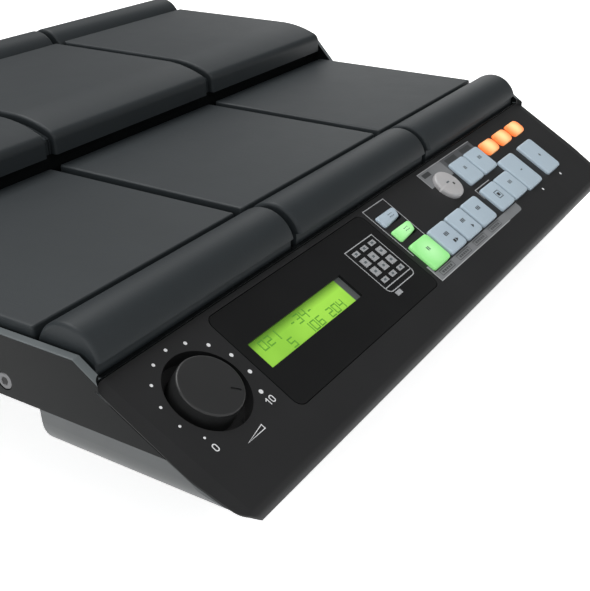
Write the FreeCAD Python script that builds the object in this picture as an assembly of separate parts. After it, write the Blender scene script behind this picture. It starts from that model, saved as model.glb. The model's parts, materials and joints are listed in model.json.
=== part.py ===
import FreeCAD, Part
import math
import os

from FreeCAD import Placement, Rotation, Vector

os.makedirs("parts", exist_ok=True)

# Electronic percussion pad with twelve rubber playing surfaces.
# Millimetres. +X is the player's right, +Y is away from the player, +Z is up.
# The origin is on the table under the middle of the case, and the rubber feet stand on Z = 0.

# Overall size of the case
case_width = 345.0
case_depth = 319.0
case_height = 96.0
wall = 3.0
fit_gap = 0.25
left_x = -case_width / 2
right_x = case_width / 2
front_y = -case_depth / 2
rear_y = case_depth / 2

# How far joined shapes reach into each other, and how far a cutting shape runs past what it cuts
weld = 0.5
past = 1.0

# Heights: the crest of the rear bar is the top, and the rest hangs from it
foot_height = 6.0
rear_bar_rise = 5.5
pad_step = 19.5
front_bar_rise = 5.0
panel_drop = 9.5
seam_drop = 26.5
tub_floor_z = foot_height
rear_bar_crest_z = case_height
high_pad_top_z = rear_bar_crest_z - rear_bar_rise
low_pad_top_z = high_pad_top_z - pad_step
front_bar_crest_z = low_pad_top_z + front_bar_rise
panel_top_z = low_pad_top_z - panel_drop
seam_z = low_pad_top_z - seam_drop

# Bottom tub and feet
tub_side_inset = 2.0
tub_side_angle = 40.0
tub_rear_inset = 9.5
chin_length = 77.5
chin_inset = 0.5
chin_edge_drop = 10.4
chin_edge_round = 12.0
chin_floor_inset = 36.5
chin_overlap = 12.0
front_floor_run = 26.0
foot_radius = 9.0
foot_taper = 1.0
foot_side_margin = 19.6
foot_front_margin = 37.5
foot_rear_margin = 34.5
tub_rear_y = rear_y - tub_rear_inset
tub_floor_half_width = (
    case_width / 2 - tub_side_inset - (seam_z - tub_floor_z) / math.tan(math.radians(tub_side_angle))
)
chin_rear_y = front_y + chin_length
chin_edge_z = seam_z - chin_edge_drop
front_floor_y = front_y + front_floor_run

# Control panel, a plate that falls towards the player
panel_angle = 30.24
panel_run = 53.9
panel_wall = 2.4
panel_rim_wall = 0.75
panel_start = 0.8
panel_lip = 3.0
panel_nose_round = 5.0
panel_corner_radius = 8.0
panel_side_taper = 3.8
panel_taper_length = 19.3
panel_taper_round = 30.0
panel_rear_round = 3.6
bevel_width = 4.2
bevel_angle = 5.5
bevel_taper_angle = 2.7
seam_groove_height = 0.3
seam_groove_depth = 1.5
rear_corner_radius = 7.0
panel_top_y = front_y + panel_run
panel_start_y = panel_top_y - panel_start
front_lip_bottom_z = panel_top_z - panel_run * math.tan(math.radians(panel_angle)) - panel_lip

# Rubber playing surfaces: a bar, a row of low pads, a row of high pads and a second bar
pad_gap = 2.6
pad_side_margin = 4.6
row_gap = 0.6
pad_thickness = 9.0
pad_corner_radius = 0.6
pad_edge_round = 0.5
pad_groove_depth = 2.2
pad_foot_gap = 0.3
bar_radius = 13.4
bar_foot_below_centre = 3.0
bar_edge_rise = 3.3
bar_foot_inset = 2.0
bar_end_round = 0.5
bar_overhang = 0.6
low_pad_depth = 98.4
high_pad_front_radius = 60.0
high_pad_front_run = 26.0
high_pad_nose_radius = 4.5
high_pad_apron = 3.2
high_pad_apron_lift = 4.5
rear_rim_depth = 6.2
rear_bar_gap = 1.1

front_bar_y = panel_top_y + bar_radius - bar_overhang
low_pad_front_y = front_bar_y + bar_radius + row_gap
low_pad_rear_y = low_pad_front_y + low_pad_depth
high_pad_front_y = low_pad_rear_y + row_gap
rear_bar_y = rear_y - rear_rim_depth - rear_bar_gap - bar_radius
high_pad_rear_y = rear_bar_y - bar_radius - row_gap
high_pad_apron_bottom_z = low_pad_top_z + high_pad_apron_lift
pad_width = (case_width - 2 * pad_side_margin - 2 * pad_gap) / 3
pad_pitch = pad_width + pad_gap
columns = {"left": -pad_pitch, "middle": 0.0, "right": pad_pitch}

# Steel plates, cushions and sensors under the rubber
plate_thickness = 1.2
plate_margin = 2.0
cushion_height = 4.0
cushion_width = 8.0
piezo_radius = 10.0
bar_piezo_radius = 6.0
piezo_thickness = 0.5

# Decks, cheeks and rim of the upper case
deck_thickness = 3.0
step_wall_gap = 1.3
front_rib_depth = 1.7
front_rib_start = 0.5
cheek_drop = 3.0
high_cheek_drop = 6.5
cheek_tip_rise = 1.9
cheek_slope_run = 10.7
cheek_edge_round = 0.45
cheek_ramp_run = 15.0
cheek_ramp_back = 6.0
low_deck_top_z = low_pad_top_z - pad_thickness - plate_thickness - cushion_height
high_deck_top_z = high_pad_top_z - pad_thickness - plate_thickness - cushion_height
step_wall_y = high_pad_front_y + high_pad_apron + step_wall_gap
cheek_top_z = low_pad_top_z - cheek_drop
cheek_tip_y = panel_start_y - panel_rear_round
cheek_slope_start_y = cheek_tip_y + cheek_slope_run
high_cheek_top_z = high_pad_top_z - high_cheek_drop

# Bottom screws and the posts that they hold
post_radius = 4.0
post_side_margin = 14.6
post_front_margin = 99.5
post_middle_margin = 174.5
post_rear_margin = 51.5
screw_shank_radius = 1.2
screw_head_radius = 3.0
screw_head_height = 1.4
screw_hole_radius = 1.7
screw_recess = 1.6
screw_depth = 16.0
screw_end_space = 2.0
pilot_clearance = 0.05
post_side_x = tub_floor_half_width - post_side_margin

# Side screws, through each cheek into an ear of the tub
side_screw_front_margin = 92.1
side_screw_rear_margin = 49.5
side_screw_rise = 5.7
side_screw_shank_radius = 1.45
side_screw_end_space = 0.5
ear_width = 12.0
ear_depth = 7.7
ear_gap = 0.5
side_screw_y = (front_y + side_screw_front_margin, rear_y - side_screw_rear_margin)
side_screw_z = seam_z + side_screw_rise
ear_top_z = low_deck_top_z - deck_thickness - ear_gap

# Threaded inserts for a stand plate
insert_spacing_x = 100.0
insert_spacing_y = 80.0
insert_centre_y = -5.0
insert_radius = 4.5
insert_thread_radius = 2.5
insert_length = 9.0
insert_boss_radius = 8.0

# Keys, laid out from the right end of the panel; v runs down the slope from the panel's top line
square_key_width = 15.45
square_key_height = 14.7
square_key_corner = 1.0
square_key_proud = 1.5
wide_key_width = 17.45
wide_key_height = 21.4
wide_key_corner = 1.2
wide_key_proud = 1.5
slim_key_height = 5.95
slim_key_inset = 0.1
slim_key_proud = 1.0
lit_key_width = 15.35
lit_key_height = 7.95
lit_key_corner = 2.4
lit_key_proud = 1.0
round_key_radius = 7.83
round_key_proud = 2.2
lit_right_margin = 22.65
lit_key_gap = 1.9
lit_row_v = 12.2
value_right_margin = 30.1
value_key_gap = 8.7
value_row_v = 32.2
edit_key_gap = 1.4
edit_row_gap = 4.45
play_to_edit_gap = 6.95
play_key_gap = 1.8
key_row_v = 34.55
slim_key_gap = 2.95
slim_to_square_gap = 3.55
round_key_offset = 0.2
round_key_v = 15.95
key_hole_gap = 0.25
key_edge_round = 0.55
key_flange = 0.8
key_flange_height = 1.0
key_flange_gap = 0.1
key_stem_radius = 2.0
key_stem_gap = 0.3
key_travel = 0.8
switch_size = 5.0
switch_height = 3.0
switch_plunger_radius = 1.6
switch_plunger_height = 0.5

lit_u = case_width - lit_right_margin - lit_key_width / 2
value_u = case_width - value_right_margin - wide_key_width / 2
value_pitch = wide_key_width + value_key_gap
edit_pitch = square_key_width + edit_key_gap
edit_u = value_u - value_pitch - wide_key_width / 2 - edit_key_gap - square_key_width / 2
play_pitch = square_key_width + play_key_gap
play_u = edit_u - edit_pitch - square_key_width - play_to_edit_gap
mode_u = play_u - 3 * play_pitch
edit_upper_v = key_row_v - square_key_height - edit_row_gap
slim_lower_v = key_row_v - square_key_height / 2 - slim_to_square_gap - slim_key_height / 2
slim_upper_v = slim_lower_v - slim_key_height - slim_key_gap

# Display cover, between the knob and the keys; u runs right from the case's left edge
cover_left_u = 52.4
cover_to_keys_gap = 4.75
cover_top_v = 3.55
cover_bottom_v = 47.05
cover_thickness = 1.2
cover_corner_radius = 3.5
cover_groove = 0.35
window_left_margin = 4.8
window_right_margin = 39.45
window_top_v = 19.1
window_height = 11.7
glass_margin = 2.0
lcd_frame_margin = 5.2
cover_u = (cover_left_u, mode_u - square_key_width / 2 - cover_to_keys_gap)
cover_v = (cover_top_v, cover_bottom_v)
window_u = (cover_u[0] + window_left_margin, cover_u[1] - window_right_margin)
window_v = (window_top_v, window_top_v + window_height)

# Circuit board of the panel and the bosses that it is screwed to
board_depth_w = 9.0
board_thickness = 1.6
board_left_margin = 7.4
board_right_margin = 19.0
board_top_v = 6.8
board_bottom_v = 46.5
panel_boss_radius = 2.4
panel_boss_top_v = 10.8
panel_boss_bottom_v = 42.5
panel_boss_left_gap = 3.9
panel_boss_right_gap = 13.1
panel_boss_cover_inset = 1.6
panel_boss_key_v = 31.6
panel_boss_middle_v = 13.75
panel_boss_middle_offset = 4.0
board_u = (cover_u[0] - board_left_margin, case_width - board_right_margin)
board_v = (board_top_v, board_bottom_v)

# Indicator lamps in the display cover
lamp_right_margin = 9.3
lamp_pitch_u = 6.55
lamp_width = 4.25
lamp_first_v = 16.35
lamp_outer_step = 4.95
lamp_inner_step = 5.35
lamp_short = 2.2
lamp_tall = 4.0
lamp_gap = 0.1
lamp_proud = 0.1
lamp_sink = 0.2
single_lamp_margin = 22.8
single_lamp_v = 39.1
single_lamp_width = 4.0
single_lamp_height = 2.0
light_guide_margin = 1.2
lamp_columns_u = [cover_u[1] - lamp_right_margin - lamp_pitch_u * i for i in (2, 1, 0)]
lamp_rows = (
    (lamp_first_v, lamp_short),
    (lamp_first_v + lamp_outer_step, lamp_tall),
    (lamp_first_v + lamp_outer_step + lamp_inner_step, lamp_tall),
    (lamp_first_v + 2 * lamp_outer_step + lamp_inner_step, lamp_short),
)
single_lamp_u = cover_u[1] - single_lamp_margin

# Volume knob in its well
knob_u = 30.2
knob_v = 23.3
well_radius = 15.55
well_depth = 7.0
well_floor = 1.5
knob_radius = 11.8
knob_foot_radius = 12.2
knob_proud = 2.9
knob_floor_gap = 0.6
knob_edge_round = 0.8
knob_top_wall = 2.5
knob_bore_space = 0.2
knob_bush_space = 0.5
pointer_angle = 46.0
pointer_start = 6.5
pointer_end = 10.2
pointer_width = 0.8
pointer_depth = 0.4
shaft_radius = 3.0
shaft_clearance = 0.06
shaft_end_gap = 0.2
push_on_clearance = 0.03
pot_bush_radius = 3.8
pot_bush_clearance = 0.1
pot_bush_rise = 3.1
pot_size = 16.0
pot_height = 8.0
pot_floor = 1.5

# Rear panel; its connectors stand side by side with equal gaps
rear_panel_end_margin = 44.5
rear_panel_bottom_margin = 7.0
rear_panel_top_margin = 3.0
rear_panel_thickness = 2.0
rear_opening_margin = 1.5
rear_axis_drop = 1.25
rear_panel_half_width = case_width / 2 - rear_panel_end_margin
rear_panel_z = (tub_floor_z + rear_panel_bottom_margin, seam_z - rear_panel_top_margin)
rear_axis_z = (rear_panel_z[0] + rear_panel_z[1]) / 2 - rear_axis_drop
plate_front_y = tub_rear_y - wall
plate_back_y = plate_front_y - rear_panel_thickness

# Main circuit board on stand-offs
main_board_side_gap = 2.0
main_board_front_margin = 24.9
main_board_rear_gap = 2.0
main_board_thickness = 1.6
board_to_axis = 8.0
standoff_radius = 3.0
standoff_margin = 8.0
standoff_rear_x = 60.0
standoff_rear_margin = 42.0
main_board_top_z = rear_axis_z - board_to_axis
main_board_z = main_board_top_z - main_board_thickness
main_board_x = post_side_x - post_radius - main_board_side_gap
main_board_y = (low_pad_rear_y + main_board_front_margin, plate_back_y - main_board_rear_gap)

# Phone jacks, numbered from right to left
jack_groups = ("output_jacks", "trigger_jacks", "pedal_jacks")
jacks_per_group = 3
jack_count = jacks_per_group * len(jack_groups)
jack_bore_radius = 3.25
jack_bore_length = 30.0
jack_bush_radius = 4.5
jack_bush_proud = 6.0
jack_body_width = 12.0
jack_body_length = 26.0
jack_body_top = 7.0
nut_flats = 11.8
nut_height = 2.2
nut_clearance = 0.05
bush_hole_clearance = 0.1

# Round five-hole sockets
midi_body = 19.0
midi_body_length = 14.0
midi_body_top = 8.5
midi_face_radius = 8.4
midi_face_proud = 1.0
midi_slot_outer = 7.1
midi_slot_inner = 6.1
midi_slot_depth = 9.0
midi_pin_circle = 3.4
midi_pin_radius = 0.8
midi_pin_depth = 0.25
midi_pin_angles = (0, 45, 90, 135, 180)

# Serial-bus sockets
usb_square_width = 9.0
usb_square_height = 8.2
usb_square_tongue_width = 5.6
usb_square_tongue_height = 3.2
usb_flat_width = 13.2
usb_flat_height = 5.8
usb_flat_tongue_width = 11.0
usb_flat_tongue_height = 1.8
usb_shell = 0.6
usb_back = 2.0
usb_length = 14.0
usb_proud = 0.6
usb_tongue_recess = 1.5
usb_foot_inset = 1.0

# Supply inlet, power button and gain knob
dc_body = 11.0
dc_length = 13.0
dc_bore_radius = 3.2
dc_pin_radius = 1.0
dc_pin_recess = 1.5
dc_floor = 3.0
dc_face_radius = 4.6
dc_face_proud = 0.5
power_size = 8.0
power_proud = 4.0
power_travel = 2.5
power_edge_round = 0.8
power_stem = 5.0
power_stem_length = 3.0
power_cap_inside = 2.5
power_switch_size = 9.0
power_switch_length = 12.0
power_switch_gap = 0.6
power_switch_low = 6.0
power_switch_high = 5.0
power_frame_gap = 0.35
power_frame_wall = 0.8
power_frame_height = 8.0
power_bridge = 1.5
gain_knob_radius = 5.2
gain_knob_length = 8.0
gain_knob_gap = 0.4
gain_edge_round = 0.6
gain_mark_width = 0.7
gain_mark_depth = 0.4
gain_mark_start = 1.5
gain_shaft_radius = 2.9
gain_shaft_inside = 5.5
gain_bush_radius = 3.6
gain_bush_length = 2.0
gain_pot_size = 10.0
gain_pot_length = 8.0
gain_pot_floor = 2.0

# Hook for a supply lead
hook_width = 8.0
hook_above_panel_edge = 2.0
hook_reach = 9.5
hook_rise = 7.5
hook_thickness = 2.0

# Larger components of the main board: X, distance from the board's front edge, width, depth, height
chip_table = (
    (-50.0, 30.5, 24.0, 24.0, 2.4),
    (10.0, 33.5, 18.0, 18.0, 2.2),
    (52.0, 25.5, 14.0, 20.0, 2.0),
    (-75.0, 35.5, 12.0, 8.0, 5.0),
)


def box(x, y, z):
    """A box from three (low, high) pairs."""
    return Part.makeBox(x[1] - x[0], y[1] - y[0], z[1] - z[0], Vector(x[0], y[0], z[0]))


def upright(radius, z, x=0.0, y=0.0):
    """A cylinder along +Z between two heights."""
    return Part.makeCylinder(radius, z[1] - z[0], Vector(x, y, z[0]), Vector(0, 0, 1))


def lying(radius, y, x, z):
    """A cylinder along +Y between two depths."""
    return Part.makeCylinder(radius, y[1] - y[0], Vector(x, y[0], z), Vector(0, 1, 0))


def crosswise(radius, x, y, z):
    """A cylinder along +X between two places."""
    return Part.makeCylinder(radius, x[1] - x[0], Vector(x[0], y, z), Vector(1, 0, 0))


def polygon_face(points):
    return Part.Face(Part.makePolygon([Vector(*p) for p in points] + [Vector(*points[0])]))


def side_profile(points, x):
    """A (Y, Z) outline extruded along X between two places."""
    face = polygon_face([(x[0], y, z) for y, z in points])
    return face.extrude(Vector(x[1] - x[0], 0, 0))


def front_profile(points, y):
    """An (X, Z) outline extruded along Y between two depths."""
    face = polygon_face([(px, y[0], z) for px, z in points])
    return face.extrude(Vector(0, y[1] - y[0], 0))


def rounded_block(u, v, z, radius):
    """A block with rounded corners, given by (low, high) pairs in the plane and in height."""
    block = box(u, v, z)
    corners = [e for e in block.Edges if abs(e.tangentAt(e.FirstParameter).z) > 0.99]
    return block.makeFillet(radius, corners)


def fused(shapes):
    result = shapes[0].multiFuse(list(shapes[1:])) if len(shapes) > 1 else shapes[0]
    return result.removeSplitter()


def on_panel(shape):
    """Move a shape made flat, at (u, -v, height over the panel), onto the sloping panel."""
    placed = shape.copy()
    placed.Placement = Placement(
        Vector(left_x, panel_top_y, panel_top_z), Rotation(Vector(1, 0, 0), panel_angle)
    ).multiply(placed.Placement)
    return placed


def panel_surface_z(y, below=0.0):
    """Height of the panel's top plane at depth y, or of a plane a stated distance below it."""
    slope = math.radians(panel_angle)
    return panel_top_z - (panel_top_y - y) * math.tan(slope) - below / math.cos(slope)


def span(centre, size):
    return (centre - size / 2, centre + size / 2)


def grown(pair, amount):
    return (pair[0] - amount, pair[1] + amount)


def down_slope(v):
    """A (low, high) pair of v as the flat drawing's Y."""
    return (-v[1], -v[0])


def corners_at(prism, y):
    """The upright corner edges of a prism at one depth."""
    return [
        e
        for e in prism.Edges
        if abs(e.tangentAt(e.FirstParameter).z) > 0.99 and abs(e.CenterOfMass.y - y) < 0.1
    ]


def plan_prism(inset, height=(0.0, case_height)):
    """Plan outline of the case, tapered towards the front and with rounded corners."""
    corner_radius = panel_corner_radius - inset / 2
    taper_start_y = front_y + panel_taper_length
    outline = []
    for sign in (1, -1):
        side = sign * (right_x - inset)
        tip = sign * (right_x - panel_side_taper - inset)
        outline.append([(side, rear_y), (side, taper_start_y), (tip, front_y + inset)])
    points = outline[0] + outline[1][::-1]
    face = polygon_face([(x, y, height[0]) for x, y in points])
    prism = face.extrude(Vector(0, 0, height[1] - height[0]))
    prism = prism.makeFillet(corner_radius, corners_at(prism, front_y + inset))
    prism = prism.makeFillet(panel_taper_round, corners_at(prism, taper_start_y))
    return prism.makeFillet(rear_corner_radius, corners_at(prism, rear_y))


def chin_outline(inset):
    """Cross-section of the front of the tub, an (X, Z) outline."""
    half = case_width / 2
    points = [
        (half, seam_z),
        (half - chin_inset, chin_edge_z),
        (half - chin_floor_inset, tub_floor_z),
        (-half + chin_floor_inset, tub_floor_z),
        (-half + chin_inset, chin_edge_z),
        (-half, seam_z),
    ]
    return offset_outline(points, inset)


def tub_outline(inset):
    """Cross-section of the recessed tub behind the chin, an (X, Z) outline."""
    half = case_width / 2 - tub_side_inset
    floor_half = tub_floor_half_width
    points = [(half, seam_z), (floor_half, tub_floor_z), (-floor_half, tub_floor_z), (-half, seam_z)]
    return offset_outline(points, inset)


def offset_outline(points, inset):
    """Move every side of a symmetric open outline inwards, and run its ends up past the seam."""
    count = len(points)
    sides = []
    for a, b in zip(points, points[1:]):
        length = math.dist(a, b)
        normal = (-(a[1] - b[1]) / length, (a[0] - b[0]) / length)
        middle_height = (points[0][1] + points[count // 2][1]) / 2
        towards_middle = normal[0] * -(a[0] + b[0]) / 2 + normal[1] * (middle_height - (a[1] + b[1]) / 2)
        if towards_middle < 0:
            normal = (-normal[0], -normal[1])
        sides.append(((a[0] + normal[0] * inset, a[1] + normal[1] * inset), (b[0] - a[0], b[1] - a[1])))
    result = [at_height(sides[0], points[0][1])]
    for first, second in zip(sides, sides[1:]):
        result.append(crossing(first, second))
    result.append(at_height(sides[-1], points[-1][1]))
    return result


def at_height(side, z):
    (x0, z0), (dx, dz) = side
    return (x0 + dx * (z - z0) / dz, z)


def crossing(first, second):
    """Where two sides, each a point and a direction, cross."""
    (x0, z0), (dx0, dz0) = first
    (x1, z1), (dx1, dz1) = second
    along = ((x1 - x0) * dz1 - (z1 - z0) * dx1) / (dx0 * dz1 - dz0 * dx1)
    return (x0 + dx0 * along, z0 + dz0 * along)


def chin_hull(inset):
    """Front of the tub, under the control panel: a rounded lower edge on each side."""
    y = (front_y + inset, chin_rear_y - inset)
    hull = front_profile(chin_outline(inset), y)
    edges = [
        e
        for e in hull.Edges
        if abs(e.tangentAt(e.FirstParameter).y) > 0.99 and abs(e.CenterOfMass.z - chin_edge_z) < 2 * wall
    ]
    hull = hull.makeFillet(chin_edge_round - inset, edges)
    front_cut = [
        (front_y - past, front_lip_bottom_z + past / 2),
        (front_y + inset, front_lip_bottom_z + inset / 2),
        (front_floor_y + inset, tub_floor_z + inset),
        (front_floor_y + inset, tub_floor_z - past),
        (front_y - past, tub_floor_z - past),
    ]
    hull = hull.cut(side_profile(front_cut, (left_x - past, right_x + past)))
    return hull.common(plan_prism(inset))


def tub_hull(inset):
    front = chin_rear_y - chin_overlap
    return front_profile(tub_outline(inset), (front, tub_rear_y - inset))


def over_panel_plane(below):
    """Everything above a plane that lies a stated distance below the panel's surface."""
    start_y = front_y - past
    end_y = panel_top_y + panel_run / 2
    outline = [
        (start_y, panel_surface_z(start_y, below)),
        (end_y, panel_surface_z(end_y, below)),
        (end_y, case_height),
        (start_y, case_height),
    ]
    return side_profile(outline, (left_x - past, right_x + past))


def inside_case_walls(clearance):
    """Plan of the panel's thick part: inside the case walls at the sides, and up to the lip in front."""
    half = right_x - panel_side_taper - panel_corner_radius - wall - clearance
    front = box((-half, half), (front_y - past, front_y + 2 * panel_corner_radius), (0, case_height))
    return plan_prism(wall + clearance).fuse(front)


def lip_block():
    """Room of the panel's front lip, down to its lower edge."""
    return box(
        (left_x - past, right_x + past),
        (front_y - past, front_y + panel_wall),
        (front_lip_bottom_z, case_height),
    )


def panel_space():
    """What the control panel takes up: a thin rim over the case walls, a thick part inside them and a lip."""
    thick = over_panel_plane(panel_wall).common(inside_case_walls(0.0))
    return over_panel_plane(panel_rim_wall).fuse(thick).fuse(lip_block())


def panel_corner(sign, grow):
    """Upright cylinder of the rounding at one of the panel's top corners."""
    x = sign * (right_x - panel_rear_round)
    return upright(panel_rear_round + grow, (0, case_height), x, cheek_tip_y)


def seam_groove():
    """Narrow slot round the case, just under the edge of the control panel."""
    start_y = front_y - past
    end_y = panel_start_y - past
    low = panel_rim_wall + seam_groove_height
    slab = [
        (start_y, panel_surface_z(start_y, low)),
        (end_y, panel_surface_z(end_y, low)),
        (end_y, panel_surface_z(end_y, panel_rim_wall)),
        (start_y, panel_surface_z(start_y, panel_rim_wall)),
    ]
    return side_profile(slab, (left_x - past, right_x + past)).cut(plan_prism(seam_groove_depth))


def post_places():
    """Middle of every post for a bottom screw: two rows of three and a rear pair."""
    front = front_y + post_front_margin
    middle = front_y + post_middle_margin
    rear = rear_y - post_rear_margin
    rows = [(x, y) for y in (front, middle) for x in (-post_side_x, 0.0, post_side_x)]
    return rows + [(-post_side_x, rear), (post_side_x, rear)]


def standoff_places():
    front = main_board_y[0] + standoff_margin
    rear = main_board_y[1] - standoff_rear_margin
    side = main_board_x - standoff_margin
    return [(-side, front), (0.0, front), (side, front), (-standoff_rear_x, rear), (standoff_rear_x, rear)]


def screw_holes(shape):
    """Holes with head recesses through the tub's floor."""
    for x, y in post_places():
        hole = upright(screw_hole_radius, (tub_floor_z - past, tub_floor_z + wall + past), x, y)
        recess = upright(screw_head_radius + fit_gap, (tub_floor_z - past, tub_floor_z + screw_recess), x, y)
        shape = shape.cut(hole.fuse(recess))
    return shape


def insert_places():
    return [
        (sx * insert_spacing_x / 2, insert_centre_y + sy * insert_spacing_y / 2)
        for sx in (-1, 1)
        for sy in (-1, 1)
    ]


def base_tub():
    """Bottom shell with the visible chin in front and a deep recessed tub behind it."""
    outer = chin_hull(0.0).fuse(tub_hull(0.0))
    inner = chin_hull(wall).fuse(tub_hull(wall))
    mouth = box(
        (left_x + 2 * wall, right_x - 2 * wall),
        (chin_rear_y - 2 * wall, tub_rear_y - wall),
        (seam_z - past, seam_z + past),
    )
    shell = outer.cut(inner).cut(mouth)
    flange = box(
        (left_x + wall, right_x - wall), (tub_rear_y - weld, rear_y - wall), (seam_z - wall, seam_z)
    )
    pieces = [shell, flange]
    for x, y in insert_places():
        pieces.append(
            upright(insert_boss_radius, (tub_floor_z + weld, tub_floor_z + insert_length), x, y)
        )
    for x, y in standoff_places():
        pieces.append(upright(standoff_radius, (tub_floor_z + weld, main_board_z), x, y))
    for sign in (-1, 1):
        outer_x = sign * (right_x - wall - fit_gap)
        inner_x = outer_x - sign * ear_depth
        for y in side_screw_y:
            pieces.append(
                box(sorted((inner_x, outer_x)), span(y, ear_width), (seam_z - weld, ear_top_z))
            )
    tub = fused(pieces)
    tub = tub.cut(panel_space()).cut(seam_groove())
    tub = screw_holes(tub)
    for x, y in insert_places():
        tub = tub.cut(
            upright(
                insert_radius + pilot_clearance,
                (tub_floor_z - past, tub_floor_z + insert_length + past),
                x,
                y,
            )
        )
    for sign in (-1, 1):
        ends = sorted((sign * (right_x - wall - fit_gap - ear_depth - past), sign * right_x))
        for y in side_screw_y:
            tub = tub.cut(crosswise(side_screw_shank_radius + pilot_clearance, ends, y, side_screw_z))
    opening = box(
        (-rear_panel_half_width + rear_opening_margin, rear_panel_half_width - rear_opening_margin),
        (tub_rear_y - wall - past, tub_rear_y + past),
        grown(rear_panel_z, -rear_opening_margin),
    )
    return tub.cut(opening)


def cheek(sign):
    """Outer side wall of the upper case."""
    ramp_top_y = high_pad_front_y + cheek_ramp_back
    tip_z = panel_surface_z(cheek_tip_y) + cheek_tip_rise
    points = [
        (rear_y, seam_z),
        (rear_y, high_cheek_top_z),
        (ramp_top_y, high_cheek_top_z),
        (ramp_top_y - cheek_ramp_run, cheek_top_z),
        (cheek_slope_start_y, cheek_top_z),
        (cheek_tip_y, tip_z),
        (cheek_tip_y, panel_surface_z(cheek_tip_y, panel_rim_wall)),
        (panel_rim_y_at(seam_z), seam_z),
    ]
    outer = sign * right_x
    inner = sign * (right_x - wall)
    plate = side_profile(points, sorted((outer, inner)))
    top_edges = [
        e
        for e in plate.Edges
        if abs(e.CenterOfMass.x - outer) < 0.01
        and e.CenterOfMass.z > tip_z
        and abs(e.tangentAt(e.FirstParameter).y) > 0.3
    ]
    plate = plate.makeFillet(cheek_edge_round, top_edges)
    return plate.cut(panel_corner(sign, fit_gap).common(panel_space()))


def panel_rim_y_at(z):
    """Depth at which the underside of the panel's rim is at height z."""
    slope = math.radians(panel_angle)
    drop = panel_top_z - panel_rim_wall / math.cos(slope) - z
    return panel_top_y - drop / math.tan(slope)


def upper_case():
    """Tray with two decks, side cheeks, a rear wall and the posts for the bottom screws."""
    inner_x = (left_x + wall - weld, right_x - wall + weld)
    rib_front_y = panel_top_y - front_rib_start
    deck = [
        (rib_front_y, low_deck_top_z - deck_thickness),
        (rib_front_y, panel_top_z),
        (rib_front_y + front_rib_depth, panel_top_z),
        (rib_front_y + front_rib_depth, low_deck_top_z),
        (step_wall_y, low_deck_top_z),
        (step_wall_y, high_deck_top_z),
        (rear_y - weld, high_deck_top_z),
        (rear_y - weld, high_deck_top_z - deck_thickness),
        (step_wall_y + wall, high_deck_top_z - deck_thickness),
        (step_wall_y + wall, low_deck_top_z - deck_thickness),
    ]
    pieces = [cheek(-1), cheek(1), side_profile(deck, inner_x)]
    pieces.append(box(inner_x, (rear_y - wall, rear_y), (seam_z, high_cheek_top_z)))
    pieces.append(
        box(inner_x, (rear_y - rear_rim_depth, rear_y), (high_deck_top_z - weld, high_cheek_top_z))
    )
    for x, y in post_places():
        deck_z = low_deck_top_z if y < step_wall_y else high_deck_top_z
        pieces.append(upright(post_radius, (tub_floor_z + wall, deck_z - weld), x, y))
    case = fused(pieces).common(plan_prism(0.0)).cut(seam_groove())
    for x, y in post_places():
        hole = upright(
            screw_shank_radius + pilot_clearance,
            (tub_floor_z, tub_floor_z + screw_depth + screw_end_space),
            x,
            y,
        )
        case = case.cut(hole)
    for sign in (-1, 1):
        outer = sign * (right_x + past)
        recess = sign * (right_x - screw_recess)
        inner = sign * (right_x - wall - past)
        for y in side_screw_y:
            head_space = crosswise(screw_head_radius + fit_gap, sorted((outer, recess)), y, side_screw_z)
            hole = crosswise(screw_hole_radius, sorted((outer, inner)), y, side_screw_z)
            case = case.cut(head_space).cut(hole)
    return case


def key_rows():
    """Every key with corners: name, middle u and v, width, height, corner radius and rise over the panel."""
    square = (square_key_width, square_key_height, square_key_corner, square_key_proud)
    wide = (wide_key_width, wide_key_height, wide_key_corner, wide_key_proud)
    slim = (square_key_width - 2 * slim_key_inset, slim_key_height, square_key_corner, slim_key_proud)
    lit = (lit_key_width, lit_key_height, lit_key_corner, lit_key_proud)
    rows = [
        ("mode_key_1", mode_u, slim_upper_v) + slim,
        ("mode_key_2", mode_u, slim_lower_v) + slim,
        ("mode_key_3", mode_u, key_row_v) + square,
    ]
    for i in range(3):
        rows.append(("play_key_" + str(i + 1), mode_u + (i + 1) * play_pitch, key_row_v) + square)
        lit_key_u = lit_u - (2 - i) * (lit_key_width + lit_key_gap)
        rows.append(("lit_key_" + str(i + 1), lit_key_u, lit_row_v) + lit)
    for i, v in enumerate((edit_upper_v, edit_upper_v, key_row_v, key_row_v)):
        rows.append(("edit_key_" + str(i + 1), edit_u - (1 - i % 2) * edit_pitch, v) + square)
    for i in range(2):
        rows.append(("value_key_" + str(i + 1), value_u - (1 - i) * value_pitch, value_row_v) + wide)
    return rows


def key_outline(row, grow, w):
    """Body of a key, or the hole round it, between two heights over the panel."""
    name, u, v, width, height, radius, proud = row
    return rounded_block(grown(span(u, width), grow), grown(span(-v, height), grow), w, radius + grow)


def round_key_u():
    return play_u + round_key_offset


def round_outline(grow, w):
    return upright(round_key_radius + grow, w, round_key_u(), -round_key_v)


def lamp_blocks(grow, w):
    blocks = [
        box(grown(span(u, lamp_width), grow), grown(span(-v, height), grow), w)
        for u in lamp_columns_u
        for v, height in lamp_rows
    ]
    blocks.append(
        box(
            grown(span(single_lamp_u, single_lamp_width), grow),
            grown(span(-single_lamp_v, single_lamp_height), grow),
            w,
        )
    )
    return blocks


def light_guide_fields():
    """Areas under the cover that hold the light guides: (u, v) pairs."""
    rows_v = [v for v, height in lamp_rows]
    main = (
        grown((lamp_columns_u[0], lamp_columns_u[-1]), lamp_width / 2 + light_guide_margin),
        grown((rows_v[0], rows_v[-1]), lamp_rows[0][1] / 2 + light_guide_margin),
    )
    single = (
        grown(span(single_lamp_u, single_lamp_width), light_guide_margin),
        grown(span(single_lamp_v, single_lamp_height), light_guide_margin),
    )
    return (main, single)


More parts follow.
